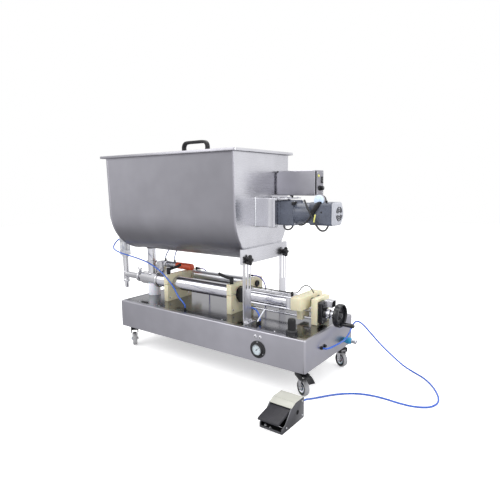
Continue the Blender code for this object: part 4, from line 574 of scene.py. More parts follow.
def casters():
    axle_z, top = 37.5, 111.7
    crown_top = top - 11
    crown = crown_top - 8
    half = [(9.6, 5.5), (14.4, 5.5), (14.4, 8.6), (11.5, 9.4), (10, 13), (9, 13.8), (9.6, 20.6),
            (11, 21.4), (12, 24), (12, 31), (11.6, 32), (11.6, 34), (10, 36)]
    crest = [(a * 2, 36.2 + 1.3 * math.cos(math.radians(a * 18))) for a in range(-4, 5)]
    tread = [(-y, r) for y, r in half] + crest + half[::-1]
    for where, (px, py, yaw) in CASTERS.items():
        swing = yawed(px, py, yaw)
        axle_x, back, front = px - 24, px - 44, px + 15
        cheek = [(front, crown_top), (front - 3, crown - 6), (axle_x + 16, crown - 17)]
        cheek += arc(axle_x, axle_z, 8.5, 0, -180, 10)
        cheek += [(axle_x - 13, crown - 18), (back, crown - 9), (back, crown_top)]
        shapes = [block(back, front, py - 18.3, py + 18.3, crown, crown_top),
                  turned("z", px, py, [(-8, 0), (-8, 21), (1, 21), (3.5, 23), (5.5, 23),
                                       (6.5, 20.5), (7.5, 23), (11, 23), (11, 0)], 40, crown_top),
                  hexagon("z", px, py, crown, -1, 14, 4)]
        for side in (-1, 1):
            shapes.append(prism("y", cheek, *sorted((py + side * 15, py + side * 18.4))))
            shapes.append(hexagon("y", axle_x, axle_z, py + side * 18.3, side, 11, 2.2))
        shapes.append(rod("y", axle_x, axle_z, 5, py - 20, py + 20, 20))
        # The fork is black from 80 mm up to just under its crown
        piece(f"fork_{where}", f"caster_{where}", CAST, [moved(s, swing) for s in shapes],
              nodes=(f"caster_fork_{where}",), edge=0.6, extra=(BLACK,),
              paint=lambda c, n: 1 if 80 < c.z < top - 3 else 0)
        # Black aprons beside the fork and a black cap on its crown, under the cabinet's edge
        apron = [(front + 1.5, crown - 8), (front + 1.5, crown_top + 1),
                 (back - 1.5, crown_top + 1), (back - 1.5, crown - 12), (axle_x - 6, crown - 19),
                 (axle_x + 10, crown - 15)]
        black_tops = [prism("y", apron, *sorted((py + side * 18.6, py + side * 20.6)))
                  for side in (-1, 1)]
        black_tops.append(turned("z", px, py, [(0.8, 21), (0.8, 25), (3, 25.6), (10, 24.4),
                                           (10, 21)], 40, crown_top))
        piece(f"caster_cover_{where}", f"caster_{where}", BLACK,
              [moved(s, swing) for s in black_tops], edge=0.5)
        axle = swing @ Vector((axle_x, py, axle_z))
        direction = (swing.to_3x3() @ Vector((0, 1, 0))).normalized()

        def finish_of(c, n):
            off = c - axle
            radius = (off - direction * off.dot(direction)).length
            for limit, slot in ((9, 1), (13.4, 0), (21, 2), (31.5, 0)):
                if radius < limit:
                    return slot
            return 3
        piece(f"tyre_{where}", f"wheel_{where}", BLACK,
              [moved(turned("y", axle_x, axle_z, tread, at=py), swing)],
              nodes=(f"caster_wheel_{where}",), extra=(ZINC, WHITE, TREAD), paint=finish_of)
        if where == "front_right":
            hx, hz = back - 5.3, crown_top - 2
            lever = arc(hx, hz, 5, -80, 100, 10) + [
                (hx - 16, hz + 3.4), (hx - 29, hz - 1), (hx - 47, hz - 14), (hx - 46, hz - 18),
                (hx - 44, hz - 18), (hx - 27, hz - 6)]
            rib = [(hx - 46, hz - 13.5), (hx - 47.5, hz - 12), (hx - 28, hz + 1.5), (hx - 27, hz)]
            shapes = [prism("y", lever, py - 15, py + 15)]
            shapes += [prism("y", rib, py + k * 7 - 1.2, py + k * 7 + 1.2) for k in (-1, 0, 1)]
            piece("brake_lever", "brake_pedal", BLACK, [moved(s, swing) for s in shapes],
                  nodes=("brake_pedal",), edge=0.8)


# Clamp plates and levers
def plates():
    top, shoulder, foot = DECK + PLATE_HIGH, DECK + 80, DECK + GAP
    outline = [(-107, foot), (88, foot), (88, shoulder - 8)]
    outline += arc(96, shoulder - 8, 8, 180, 90, 6)[1:] + [(174, shoulder)]
    outline += arc(168, top - 6, 6, 0, 90, 5) + arc(-103, top - 4, 4, 90, 180, 5)
    for name, x0 in (("clamp_plate_left", PLATE_X), ("clamp_plate_middle", MIDDLE_X)):
        x1 = x0 + PLATE
        cuts = [prism("x", circle(LINE_Y, LINE_Z, 38.7), x0 - 5, x1 + 5),
                block(x0 - 5, x1 + 5, -112, LINE_Y - 20, LINE_Z - 1.5, LINE_Z + 1.5)]
        if x0 == MIDDLE_X:
            cuts.append(prism("x", circle(SIDE_Y, SIDE_Z, 17.5), x0 - 5, x1 + 5))
        piece(f"{name}_body", FRAME, CREAM, [prism("x", outline, x0, x1)], cuts,
              nodes=(name,), edge=0.9)
        for letter, y in (("a", -90), ("b", 60)):
            piece(f"{name}_screw_{letter}", FRAME, BRIGHT,
                  [screw("x", y, DECK + 20, x1, 1, 5, 1.2)])
    for name, x, yaw in (("left", PLATE_X + PLATE / 2, 62), ("middle", MIDDLE_X + PLATE / 2, 190)):
        base, y = top + GAP, -83.0
        hub = turned("z", x, y, [(0, 0), (0, 9.5), (1, 10), (12, 10.6), (22, 11), (34, 10.6),
                                 (36.5, 8), (37, 4), (35.5, 3.6), (35.5, 0)], 36, base)
        rings = []
        for share in (0.0, 0.12, 0.3, 0.5, 0.7, 0.86, 0.95, 1.0):
            px = x + 2 + share * 75
            pz = base + 28 + 3 * share + 18 * share ** 1.6
            high = 8.6 - 1.4 * share + (1.4 if 0.6 < share < 1 else 0)
            wide = 7.0 - 0.6 * share
            if share == 1.0:
                high, wide = high * 0.55, wide * 0.55
            rings.append([(px, y + wide * math.cos(a), pz + high * math.sin(a))
                          for a in around(18)])
        swing = yawed(x, y, yaw)
        piece(f"ratchet_lever_{name}", f"clamp_lever_{name}", BLACK,
              [moved(hub, swing), moved(ring_stack(rings), swing)], nodes=(f"clamp_lever_{name}",))


# Product line
def product_line():
    joint, length, outer = SLEEVE_X, MIDDLE_X + PLATE - SLEEVE_X, 46.5
    piece("product_tube", FRAME, CHROME, [turned("x", LINE_Y, LINE_Z, [
        (0, 36), (0, 41.5), (0.8, 42.4), (5, 42.4), (6, 41.6), (7.5, 38.9), (9, 38.4),
        (length - 0.5, 38.4), (length, 38), (length, 36)], 96, joint)],
        nodes=("material_cylinder",))
    top = LINE_Z + outer
    strap = turned("x", LINE_Y, LINE_Z, [
        (-10, 39.6), (-10, 43.5), (-7.5, outer - 0.6), (-5.5, outer), (5.5, outer),
        (7.5, outer - 0.6), (10, 43.5), (10, 39.6), (8.8, 39.6), (6.6, 42.8), (-6.6, 42.8),
        (-8.8, 39.6)], 72, joint)
    lug = rounded(joint - 6, joint + 6, LINE_Z + 44, top + 11.5, 4)
    ears = wing(joint, top + 9, (9, top + 17), (13.5, top + 25), 3.4, -60, 150, top + 20)
    piece("tube_clamp", FRAME, CAST, [
        strap, prism("y", lug, LINE_Y - 9, LINE_Y + 9), prism("y", ears, LINE_Y - 3.6, LINE_Y + 3.6),
        rod("y", joint, top + 5, 3.4, LINE_Y - 13, LINE_Y + 13, 20)],
        nodes=("cylinder_clamp",), edge=0.5)
    piece("sleeve_joint_ring", FRAME, DARK, [turned("x", LINE_Y, LINE_Z, [
        (-0.28, 36.5), (-0.28, 42.2), (-0.02, 42.2), (-0.02, 36.5)], 48, joint)])
    x0 = -330.0
    profile = [(0, 0), (0, 33), (2.5, 35.5)]
    for g in (12, 26):
        profile += [(g - 1.5, 35.5), (g - 1.2, 33.2), (g + 1.2, 33.2), (g + 1.5, 35.5)]
    profile += [(38, 35.5), (40, 34), (40, 9), (489.6, 9), (489.6, 27), (490.4, 27.5),
                (508.8, 27.5), (509.6, 27), (509.6, 0)]
    piece("piston_rod_assembly", "filling_piston", CHROME,
          [turned("x", LINE_Y, LINE_Z, profile, at=x0)], nodes=("piston_and_rod",), extra=(WHITE,),
          paint=lambda c, n: int(c.x < x0 + 41 and math.hypot(c.y - LINE_Y, c.z - LINE_Z) > 24.5))

    gland = MIDDLE_X + PLATE + GAP
    cap, start = gland + 14, 147.6
    end = start + 254
    piece("front_cap_and_gland", FRAME, BLACK, [
        lobed("x", LINE_Y, LINE_Z, [(0, 39), (14.5, 39)], 7, 6, at=gland),
        prism("x", rounded(LINE_Y - 38, LINE_Y + 38, LINE_Z - 38, LINE_Z + 38, 6), cap,
              start - GAP),
        turned("x", LINE_Y, LINE_Z, [(-GAP, 9.6), (-GAP, 20), (6, 20), (6, 9.6)], 40, start),
        *[rod("x", LINE_Y + a * 27, LINE_Z + b * 27, 7.5, start - GAP - 1, start + 7, 6)
          for a, b in CORNERS]], nodes=("front_cap_with_gland",), edge=0.9)
    piece("gland_screws", FRAME, BRIGHT, [
        screw("x", LINE_Y + 32.5 * math.cos(a), LINE_Z + 32.5 * math.sin(a), cap - 0.2, 1, 3.6, 1.4)
        for a in around(6)] + [
        turned("z", (gland + cap) / 2, LINE_Y, [(36, 0), (36, 3), (40, 3), (40, 0)], 20, LINE_Z)])
    piece("air_barrel", FRAME, CHROME, [turned("x", LINE_Y, LINE_Z, [
        (start, 28.2), (start, 31.7), (start + 0.4, 32), (end - 0.4, 32), (end, 31.7),
        (end, 28.2)], 80)], nodes=("air_cylinder_barrel",))
    cap_end = end + GAP + 30
    piece("rear_cap_block", FRAME, CAST, [
        prism("x", rounded(LINE_Y - 33, LINE_Y + 33, LINE_Z - 33, LINE_Z + 33, 9), end + GAP,
              cap_end),
        turned("x", LINE_Y, LINE_Z, [(-1, 0), (-1, 15), (0, 15), (0, 0)], 40, cap_end)],
        nodes=("rear_cap_with_tie_rods",), edge=1.2)
    piece("tie_rods", FRAME, CHROME, [
        rod("x", LINE_Y + a * 28.2, LINE_Z + b * 28.2, 5.5, start + 0.3, cap_end, 28)
        for a, b in CORNERS])
    piece("cap_port", FRAME, BLACK, [turned("z", end + 16, LINE_Y, [
        (32.6, 0), (32.6, 7), (41, 7), (41.5, 5.5), (50, 5.5), (51, 4.6), (51, 0)], 28, LINE_Z)])


def side_cylinder():
    """The long air cylinder behind the product tube."""
    y, z, r = SIDE_Y, SIDE_Z, SIDE_R
    left, far, nose = PLATE_X + PLATE + GAP, MIDDLE_X - GAP, MIDDLE_X + PLATE
    piece("rear_cylinder_tube", FRAME, ALUMINIUM, [turned("x", y, z, [
        (left, 0), (left, r - 1), (left + 1, r), (left + 25, r), (left + 26, r - 1),
        (left + 26.5, r - 2), (far - 26.5, r - 2), (far - 26, r - 1), (far - 25, r), (far - 1, r),
        (far, r - 1), (far, 16.8), (nose + 4, 16.8), (nose + 4, 0)], 72)],
        nodes=("side_air_cylinder",))
    piece("rear_cylinder_nose", FRAME, BLACK, [turned("x", y, z, [
        (0.4, 0), (0.4, 16.9), (8, 16.9), (10, 15), (10, 8), (7, 7), (7, 0)], 48, nose)])
    for number, x in enumerate((left + 18, far - 14)):
        piece(f"rear_cylinder_elbow_{number}", FRAME, BLACK, [
            hexagon("z", x, y, z + r - 1, 1, 12, 5),
            turned("z", x, y, [(3, 0), (3, 6), (15, 6), (17, 4.5), (17, 0)], 28, z + r),
            turned("x", y, z + r + 10, [(-3, 0), (-3, 5), (16, 5), (16.5, 6), (21, 6), (22, 5),
                                        (22, 0)], 28, x)], edge=0.4)


def stroke_stop():
    """Crosshead on its guide and screw, end plate, counter, and handwheel with its crank."""
    x0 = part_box("crosshead")[0][0] / mm - HOME.x / mm
    x1 = x0 + 55
    z0 = LINE_Z - 28
    nut = x0 + 8
    piece("crosshead_block", "crosshead", CREAM,
          [prism("x", rounded(-70, 150, z0, z0 + 60, 3), x0, x1),
           block(nut, nut + 30, -24, 46, z0 - 54, z0 + 1)],
          [prism("x", circle(SCREW_Y, SCREW_Z, 8.5, 32), x0 - 9, x1 + 9),
           prism("x", circle(GUIDE_Y, GUIDE_Z, 7.5, 32), x0 - 9, x1 + 9)],
          nodes=("crosshead",), edge=1.0)
    for number, y in enumerate((40, 104)):
        piece(f"bumper_{number}", "crosshead", RUBBER, [turned("x", y, z0 + 30, [
            (-1, 0), (-1, 15), (6.5, 15), (9, 13.4), (10, 11), (10, 4), (8.6, 3.6), (8.6, 0)],
            40, x1)])
    piece("crosshead_top_screws", "crosshead", BRIGHT, [
        screw("z", x0 + 27, y, z0 + 60, 1, 4.5, 0.9) for y in (-52, 132)])
    plate_x = x1 + 32
    piece("guide_bar", FRAME, CHROME,
          [rod("x", GUIDE_Y, GUIDE_Z, 7, MIDDLE_X + PLATE + GAP, plate_x + 30)],
          nodes=("guide_rod",))
    piece("end_plate_body", FRAME, CREAM,
          [prism("x", rounded(-26, 104, DECK + GAP, DECK + 125, 3), plate_x, plate_x + 30)],
          nodes=("end_plate",), edge=1.0)
    face = plate_x + 30.3 + 23
    collar = [(-1, 0), (-1, 24), (11, 24), (12.5, 22), (13, 15), (20, 14), (21, 21), (22, 22.4),
              (31, 22.4), (32, 21), (33, 14), (40, 14), (41, 18), (46, 18), (47, 16), (47, 0)]
    piece("counter_housing", FRAME, GLOSS, [
        layered("x", (-18, 42, 272, 376), [(-23, 0), (-3, 0), (-1, 1), (0, 3.5)], 9, at=face),
        turned("x", SCREW_Y, SCREW_Z, collar, at=face)] + [
        rod("x", SCREW_Y + 23 * math.cos(a), SCREW_Z + 23 * math.sin(a), 1.1, face + 1, face + 10, 8)
        for a in around(24)], nodes=("position_counter",), extra=(BRIGHT,),
        paint=lambda c, n: int(c.x > face + 12.6 and math.hypot(c.y - SCREW_Y, c.z - SCREW_Z) < 26.4))
    piece("counter_screws", FRAME, BRIGHT, [
        screw("x", u, v, face - 0.6, 1, 3, 0.9) for u in (-10, 34) for v in (281, 367)])
    piece("counter_window", FRAME, STEEL, [
        layered("x", (8, 48, 350, 383), [(-1, 0), (36, 0), (38, 1.6)], 3, at=face)], extra=(DARK,),
        paint=lambda c, n: 1 if n.x > 0.9 and abs(c.y - 28) < 12 and abs(c.z - 366) < 9 else 0)

    hub = face + 47 + GAP
    far = hub + 42
    rim = [(0, 0), (0, 12), (2, 13.6), (17, 16), (17.4, 22), (19.5, 43), (17, 47), (14, 49),
           (15, 52.5), (18, 54.6), (23, 55), (36, 55), (40, 54), (42, 51.6), (41.4, 48.6),
           (38, 47), (27, 46), (25, 41), (24, 20), (34, 14), (37.6, 12.5), (38, 11), (38, 5),
           (36, 4.4), (36, 0)]
    piece("handwheel_disc", "handwheel", GLOSS, [turned("x", SCREW_Y, SCREW_Z, rim, 80, hub)],
          nodes=("handwheel_and_screw",))
    pitch, thread = 3, [(x0 + 2, 0)]
    for k in range(int((hub - x0 - 4) / pitch)):
        step = pitch * k
        thread += [(x0 + 2 + step, 6.9), (x0 + 3.1 + step, 7.9), (x0 + 3.9 + step, 7.9)]
    thread += [(hub, 6.9), (hub, 0)]
    crank = math.radians(240)
    gy, gz = SCREW_Y + 37 * math.cos(crank), SCREW_Z + 37 * math.sin(crank)
    piece("lead_screw", "handwheel", BRIGHT, [
        turned("x", SCREW_Y, SCREW_Z, thread, 28), rod("x", gy, gz, 4, hub + 23, far + 56, 20)])
    piece("grip_sleeve", "crank_grip", GLOSS, [turned("x", gy, gz, [
        (0, 4.6), (0, 7), (1.5, 8.2), (8, 8.6), (18, 9.1), (40, 10), (56, 10), (62, 9), (65, 6.5),
        (66, 3), (65.6, 1), (58, 1), (58, 4.6)], 40, far + GAP)], nodes=("crank_grip",))


# Valve, outlet and nozzle
def valve():
    joint, left, top, boss = SLEEVE_X - GAP, -652.0, NECK_Z, 32.0
    body = [
        turned("x", LINE_Y, LINE_Z, [
            (left, 20), (left, 31), (left + 2, 34.5), (left + 5, 37), (left + 9, 38),
            (joint - 9, 38), (joint - 7.4, 39), (joint - 6, 42), (joint - 5, 42.4), (joint, 42.4),
            (joint, 36), (joint - 30, 25)], 72),
        turned("x", LINE_Y, LINE_Z, [(-684.7, 16), (-684.7, 26.6), (-684, 27), (-679.5, 27),
                                     (-678, 25.5), (-677, 19.6), (-675, 19), (left + 2, 19),
                                     (left + 2, 16)], 48),
        turned("z", NECK_X, LINE_Y, [(LINE_Z + 20, 24), (top - 8, 24), (top - 7, 25), (top - 6, 31),
                                     (top - 5, 32), (top - 0.6, 32), (top, 31.4), (top, 21),
                                     (LINE_Z + 24, 21)], 56),
        turned("y", NECK_X, LINE_Z, [(LINE_Y + 10, 32.5), (boss - 3, 32.5), (boss - 1, 31.5),
                                     (boss, 30), (boss, 26), (LINE_Y + 10, 26)], 56),
        turned("z", NECK_X, LINE_Y, [(LINE_Z + 37, 24), (LINE_Z + 35.5, 27.5), (LINE_Z + 33, 28.5),
                                     (LINE_Z + 30, 27)], 40)]
    piece("valve_casting", FRAME, CAST, body, nodes=("valve_body",))
    piece("rotor_plug", "valve_rotor", WHITE, [
        turned("y", NECK_X, LINE_Z, [(LINE_Y - 25.5, 0), (LINE_Y - 25.5, 24.5),
                                     (LINE_Y - 24.5, 25.5), (boss - 3, 25.5), (boss - 2, 24.5),
                                     (boss - 2, 8), (boss + 34, 8), (boss + 34, 0)], 48)],
        [prism("x", circle(LINE_Y, LINE_Z, 16, 32), NECK_X, NECK_X + 60),
         prism("z", circle(NECK_X, LINE_Y, 16, 32), LINE_Z - 60, LINE_Z + 60)],
        nodes=("valve_rotor",), extra=(CHROME,), paint=lambda c, n: 1 if c.y > boss - 1.9 else 0)
    housing = [(NECK_X - 35, LINE_Z - 35), (NECK_X + 35, LINE_Z - 35)]
    housing += arc(NECK_X, RACK_Z - 12, 35, 0, 180, 24)
    piece("rack_housing", FRAME, CAST, [
        prism("y", housing, boss + GAP, boss + 60.3),
        turned("y", NECK_X, LINE_Z, [(boss + 60.3, 0), (boss + 60.3, 24), (boss + 57, 25),
                                     (boss + 55, 25), (boss + 55, 0)], 48)],
        nodes=("valve_actuator",), edge=1.5, segments=3)
    piece("rack_tube", FRAME, ZINC, [turned("x", RACK_Y, RACK_Z, [
        (NECK_X + 30, 0), (NECK_X + 30, 20), (-538, 20), (-536, 19.4), (-461, 19.4), (-460, 20),
        (-458.2, 20), (-458.2, 0)])])
    piece("rack_end_tube", FRAME, ORANGE, [turned("x", RACK_Y, RACK_Z, [
        (-457.7, 0), (-457.7, 19.4), (-457, 20), (-420, 20), (-418, 18.8), (-414, 18.8),
        (-412, 20), (-340, 20), (-336, 18.5), (-334, 15), (-334, 0)])],
        nodes=("actuator_end_tube",))
    piece("rack_screws", FRAME, BRIGHT, [
        screw("y", NECK_X + a * 27, LINE_Z + b, boss + 60.3, 1, 4, 2) for a in (-1, 1)
        for b in (-27, 45)])
    for number, (x, z) in enumerate(((-560, RACK_Z + 22), (-480, RACK_Z + 19))):
        piece(f"actuator_port_{number}", FRAME, BLACK, [
            hexagon("z", x, RACK_Y, z - 1, 1, 11, 4),
            turned("z", x, RACK_Y, [(3, 0), (3, 5), (13, 5), (14, 4), (14, 0)], 24, z)],
            edge=0.3)
    piece("support_post", FRAME, WHITE, [
        turned("z", -558, LINE_Y, [(DECK + GAP, 0), (DECK + GAP, 35), (DECK + 1.3, 36), (334, 36),
                                   (336, 35), (336, 0)], 72)],
        [prism("x", circle(LINE_Y, LINE_Z, 38.2, 72), -620, -500),
         prism("y", circle(NECK_X, LINE_Z, 32.7, 48), LINE_Y, 60)],
        nodes=("valve_post",))


def outlet():
    joint = -685.0
    tip, top, cross = 274.0, 485.7, LINE_Z
    body = [
        turned("x", LINE_Y, LINE_Z, [(joint, 16), (joint, 26.6), (joint - 0.7, 27),
                                     (joint - 5, 27), (joint - 6, 26), (joint - 7.2, 19.6),
                                     (joint - 9, 18.8), (NOZZLE_X + 8, 18.8), (NOZZLE_X + 8, 16)], 56),
        turned("z", NOZZLE_X, LINE_Y, [
            (tip, 7.6), (tip, 10.6), (tip + 1, 11.4), (tip + 5, 12), (tip + 36.5, 12),
            (tip + 37.5, 13.5), (tip + 38, 20), (tip + 39, 21), (tip + 51, 21), (tip + 53, 20),
            (tip + 56, 17.2), (cross - 26, 17), (cross + 26, 17), (top - 14, 17), (top - 12.5, 20.4),
            (top - 11.5, 21), (top - 1, 21), (top, 20), (top, 7.6), (tip + 40, 7.6)], 56),
        turned("z", NOZZLE_X, LINE_Y, [(cross - 22, 17), (cross - 20, 18.2), (cross + 20, 18.2),
                                       (cross + 22, 17)], 48)]
    piece("nozzle_pipe", FRAME, CAST, body, nodes=("outlet_and_nozzle",))
    mid, outer = joint + GAP / 2, 31.0
    crest = LINE_Z + outer
    strap = turned("x", LINE_Y, LINE_Z, [
        (mid - 9, 20), (mid - 9, 26), (mid - 7, 30), (mid - 5, outer), (mid + 5, outer),
        (mid + 7, 30), (mid + 9, 26), (mid + 9, 20), (mid + 7.8, 20), (mid + 7, 27.3),
        (mid - 7, 27.3), (mid - 7.8, 20)], 64)
    lug = rounded(mid - 6, mid + 6, LINE_Z + 28.5, crest + 9.6, 4)
    ears = wing(mid, crest + 7, (11, crest + 14), (16, crest + 22), 4.2, -70, 140, crest + 16)
    piece("pipe_clamp", FRAME, CAST, [
        strap, prism("y", lug, LINE_Y - 8, LINE_Y + 8), prism("y", ears, LINE_Y - 3.6, LINE_Y + 3.6),
        rod("y", mid, crest + 4, 3.2, LINE_Y - 12, LINE_Y + 12, 20)],
        nodes=("outlet_clamp",), edge=0.5)
    piece("shut_off_pin", "nozzle_pin", CHROME, [turned("z", NOZZLE_X, LINE_Y, [
        (1, 0), (1, 4), (4, 7), (20, 7), (24, 5), (242, 5), (242, 0)], 32, tip)],
        nodes=("nozzle_pin",))
    low, high = 486.0, 600.0
    shapes = []
    for z0, z1 in ((low, low + 30), (high - 30, high)):
        shapes.append(prism("z", rounded(NOZZLE_X - 25, NOZZLE_X + 25, LINE_Y - 25, LINE_Y + 25, 5),
                            z0, z1))
    shapes.append(turned("z", NOZZLE_X, LINE_Y, [(low + 29, 0), (low + 29, 21), (high - 29, 21),
                                                 (high - 29, 0)], 48))
    for a in (-1, 1):
        shapes.append(rod("z", NOZZLE_X + a * 19, LINE_Y + a * 19, 4, low + 29, high - 29, 20))
        shapes.append(rod("z", NOZZLE_X + a * 19, LINE_Y - a * 19, 4, low + 29, high - 29, 20))
    shapes += [screw("z", NOZZLE_X + a * 18, LINE_Y + b * 18, high, 1, 4, -0.2)
               for a, b in CORNERS]
    piece("nozzle_actuator", FRAME, ALUMINIUM, shapes, nodes=("nozzle_cylinder",), edge=0.8)
    for number, z in enumerate((low + 18, high - 18)):
        piece(f"nozzle_port_{number}", FRAME, BLACK, [
            turned("x", -38, z, [(-24, 0), (-24, 6.6), (-28, 6.6), (-28.5, 5.6), (-36, 5.6),
                                 (-37, 4.8), (-37, 0)], 28, NOZZLE_X)])


# Hopper with its folded rims, lid and handle
def trough(grow, top, steps=64):
    half = MOUTH + grow
    return [(-half, top)] + arc(0, TROUGH_Z, TROUGH_R + grow, 180, 360, steps) + [(half, top)]


def hopper():
    left, right_end = HOPPER_X
    stations = [(left, -4), (left + 0.3, -1), (left + 1.4, 1.8), (left + 3.4, 3.4), (left + 6, 4),
                (left + 9.5, 4), (left + 11.4, 3.2), (left + 13, 0.6), (left + 15, 0)]
    stations += [(left + right_end - x, g) for x, g in reversed(stations)]
    bm = bmesh.new()
    rows = []
    for x, grow in stations:
        rows.append([bm.verts.new(world(x, u, v)) for u, v in trough(grow, HOPPER_TOP - 1)])
    for a, b in zip(rows, rows[1:]):
        for k in range(len(a) - 1):
            bm.faces.new((a[k], a[k + 1], b[k + 1], b[k]))
    bm.faces.new(rows[0])
    bm.faces.new(rows[-1])
    bmesh.ops.recalc_face_normals(bm, faces=bm.faces)
    mesh = bpy.data.meshes.new("hopper_shell")
    bm.to_mesh(mesh)
    bm.free()
    obj = linked("hopper_shell", mesh)
    thick = obj.modifiers.new("sheet", "SOLIDIFY")
    thick.thickness, thick.offset, thick.use_even_offset = 2.6 * mm, -1.0, True
    baked(obj)
    if sum(f.normal.z * f.area for f in obj.data.polygons if f.center.z < 0.6) > 0:
        obj.data.flip_normals()

    # Painted light: the end walls take the bright satin sheet and the folded ends the lighter cabinet
    # sheet, lighter than the front of the same steel
    def painted_light_sheet_of(c, n):
        if abs(n.x) > 0.95:
            return 2
        return int(c.x > right_end - 14.5 or c.x < left + 14.5)
    dressed(obj, (SHEET, CABINET, STEEL), painted_light_sheet_of, FRAME, ("hopper",))

    x0, x1, y = left - 12, right_end + 12, MOUTH + 12
    frame_rings = []
    for d, z in ((0, HOPPER_TOP - 3), (0, HOPPER_TOP), (15, HOPPER_TOP), (15, HOPPER_TOP - 3)):
        frame_rings.append([(u, v, z) for u, v in rounded(x0 + d, x1 - d, -y + d, y - d, 5)])
    piece("hopper_rim", FRAME, BRIGHT, [ring_stack(frame_rings, True)])
    joint = NECK_Z + GAP
    neck_top = TROUGH_Z - TROUGH_R + 4
    piece("hopper_neck", FRAME, BRIGHT, [
        turned("z", NECK_X, LINE_Y, [(joint, 21), (joint, 31.4), (joint + 0.6, 32), (joint + 5, 32),
                                     (joint + 6, 31), (joint + 7, 25), (joint + 8, 24),
                                     (neck_top - 4, 24), (neck_top, 28), (neck_top + 1, 21)], 56)])


def lid():
    x0, x1, half = HOPPER_X[0] - 34, HOPPER_X[1] + 21, MOUTH + 20
    plate = HOPPER_TOP + GAP
    top, low = plate + 3, plate + 3 - 13

    def ring(d, z, r=8):
        return [(u, v, z) for u, v in rounded(x0 + d, x1 - d, -half + d, half - d, r, 6)]
    rings = [ring(3, plate, 6), ring(3, low + 0.6, 6), ring(2.4, low, 6), ring(0.6, low, 8),
             ring(0, low + 0.6, 8), ring(0, top - 2.6), ring(0.6, top - 1), ring(2.4, top)]
    # Painted light: the lid's end faces take the bright satin sheet, lighter than its front and top
    piece("lid_sheet", "lid", SHEET, [ring_stack(rings)], nodes=("lid",), extra=(STEEL,),
          paint=lambda c, n: 1 if abs(n.x) > 0.7 else 0)
    x = (x0 + x1) / 2 + 20
    base, span, high = top + GAP, 95.0, top + GAP + 74
    path = [(x - span + 8.5, 0, base), (x - span + 8.5, 0, base + 24), (x - span + 9.5, 0, high - 28),
            (x - span + 20, 0, high - 13), (x - span + 40, 0, high - 8.5), (x, 0, high - 8.2),
            (x + span - 40, 0, high - 8.5), (x + span - 20, 0, high - 13),
            (x + span - 9.5, 0, high - 28), (x + span - 8.5, 0, base + 24), (x + span - 8.5, 0, base)]
    spots = smooth(path, 4)
    rings = []
    for i, spot in enumerate(spots):
        side = Vector((0, 1, 0))
        up = heading(spots, i).cross(side)
        rings.append([tuple(spot + side * u + up * v) for u, v in rounded(-13, 13, -8.2, 8.2, 5, 4)])
    pads = [prism("z", rounded(start, start + 17, -13, 13, 5), base, base + 4)
            for start in (x - span, x + span - 17)]
    piece("lid_grip", "lid", BLACK, [ring_stack(rings)] + pads, nodes=("lid_handle",))


def stirrer():
    left, right_end = HOPPER_X[0] - 4, FACE_X + 99 + 14 + 24
    a0, a1 = HOPPER_X[0] + 60, HOPPER_X[1] - 60
    steps, turns, outer, wide = 120, 1.5, 185.0, 26.0
    rings = []
    for i in range(steps + 1):
        s = i / steps
        a = 2 * math.pi * turns * s
        x = a0 + (a1 - a0) * s
        rings.append([(x + o, r * math.cos(a), SHAFT_Z + r * math.sin(a))
                      for r, o in ((outer - wide, -2.6), (outer, -2.6), (outer, 2.6), (outer - wide, 2.6))])
    shapes = [rod("x", 0, SHAFT_Z, 11, left, right_end), ring_stack(rings)]
    for i in range(6):
        s = i / 5 * (1 - 2 / 30) + 1 / 30
        a = 2 * math.pi * turns * s
        swing = (Matrix.Translation((a0 + (a1 - a0) * s, 0, SHAFT_Z))
                 @ Matrix.Rotation(a - math.pi / 2, 4, "X"))
        shapes.append(moved(rod("z", 0, 0, 5, 4, outer - wide / 2, 20), swing))
        shapes.append(moved(turned("x", 0, 0, [(-9, 10), (-9, 15), (9, 15), (9, 10)], 32), swing))
    piece("ribbon_stirrer", "stirrer", BRIGHT, shapes, nodes=("stirrer",))


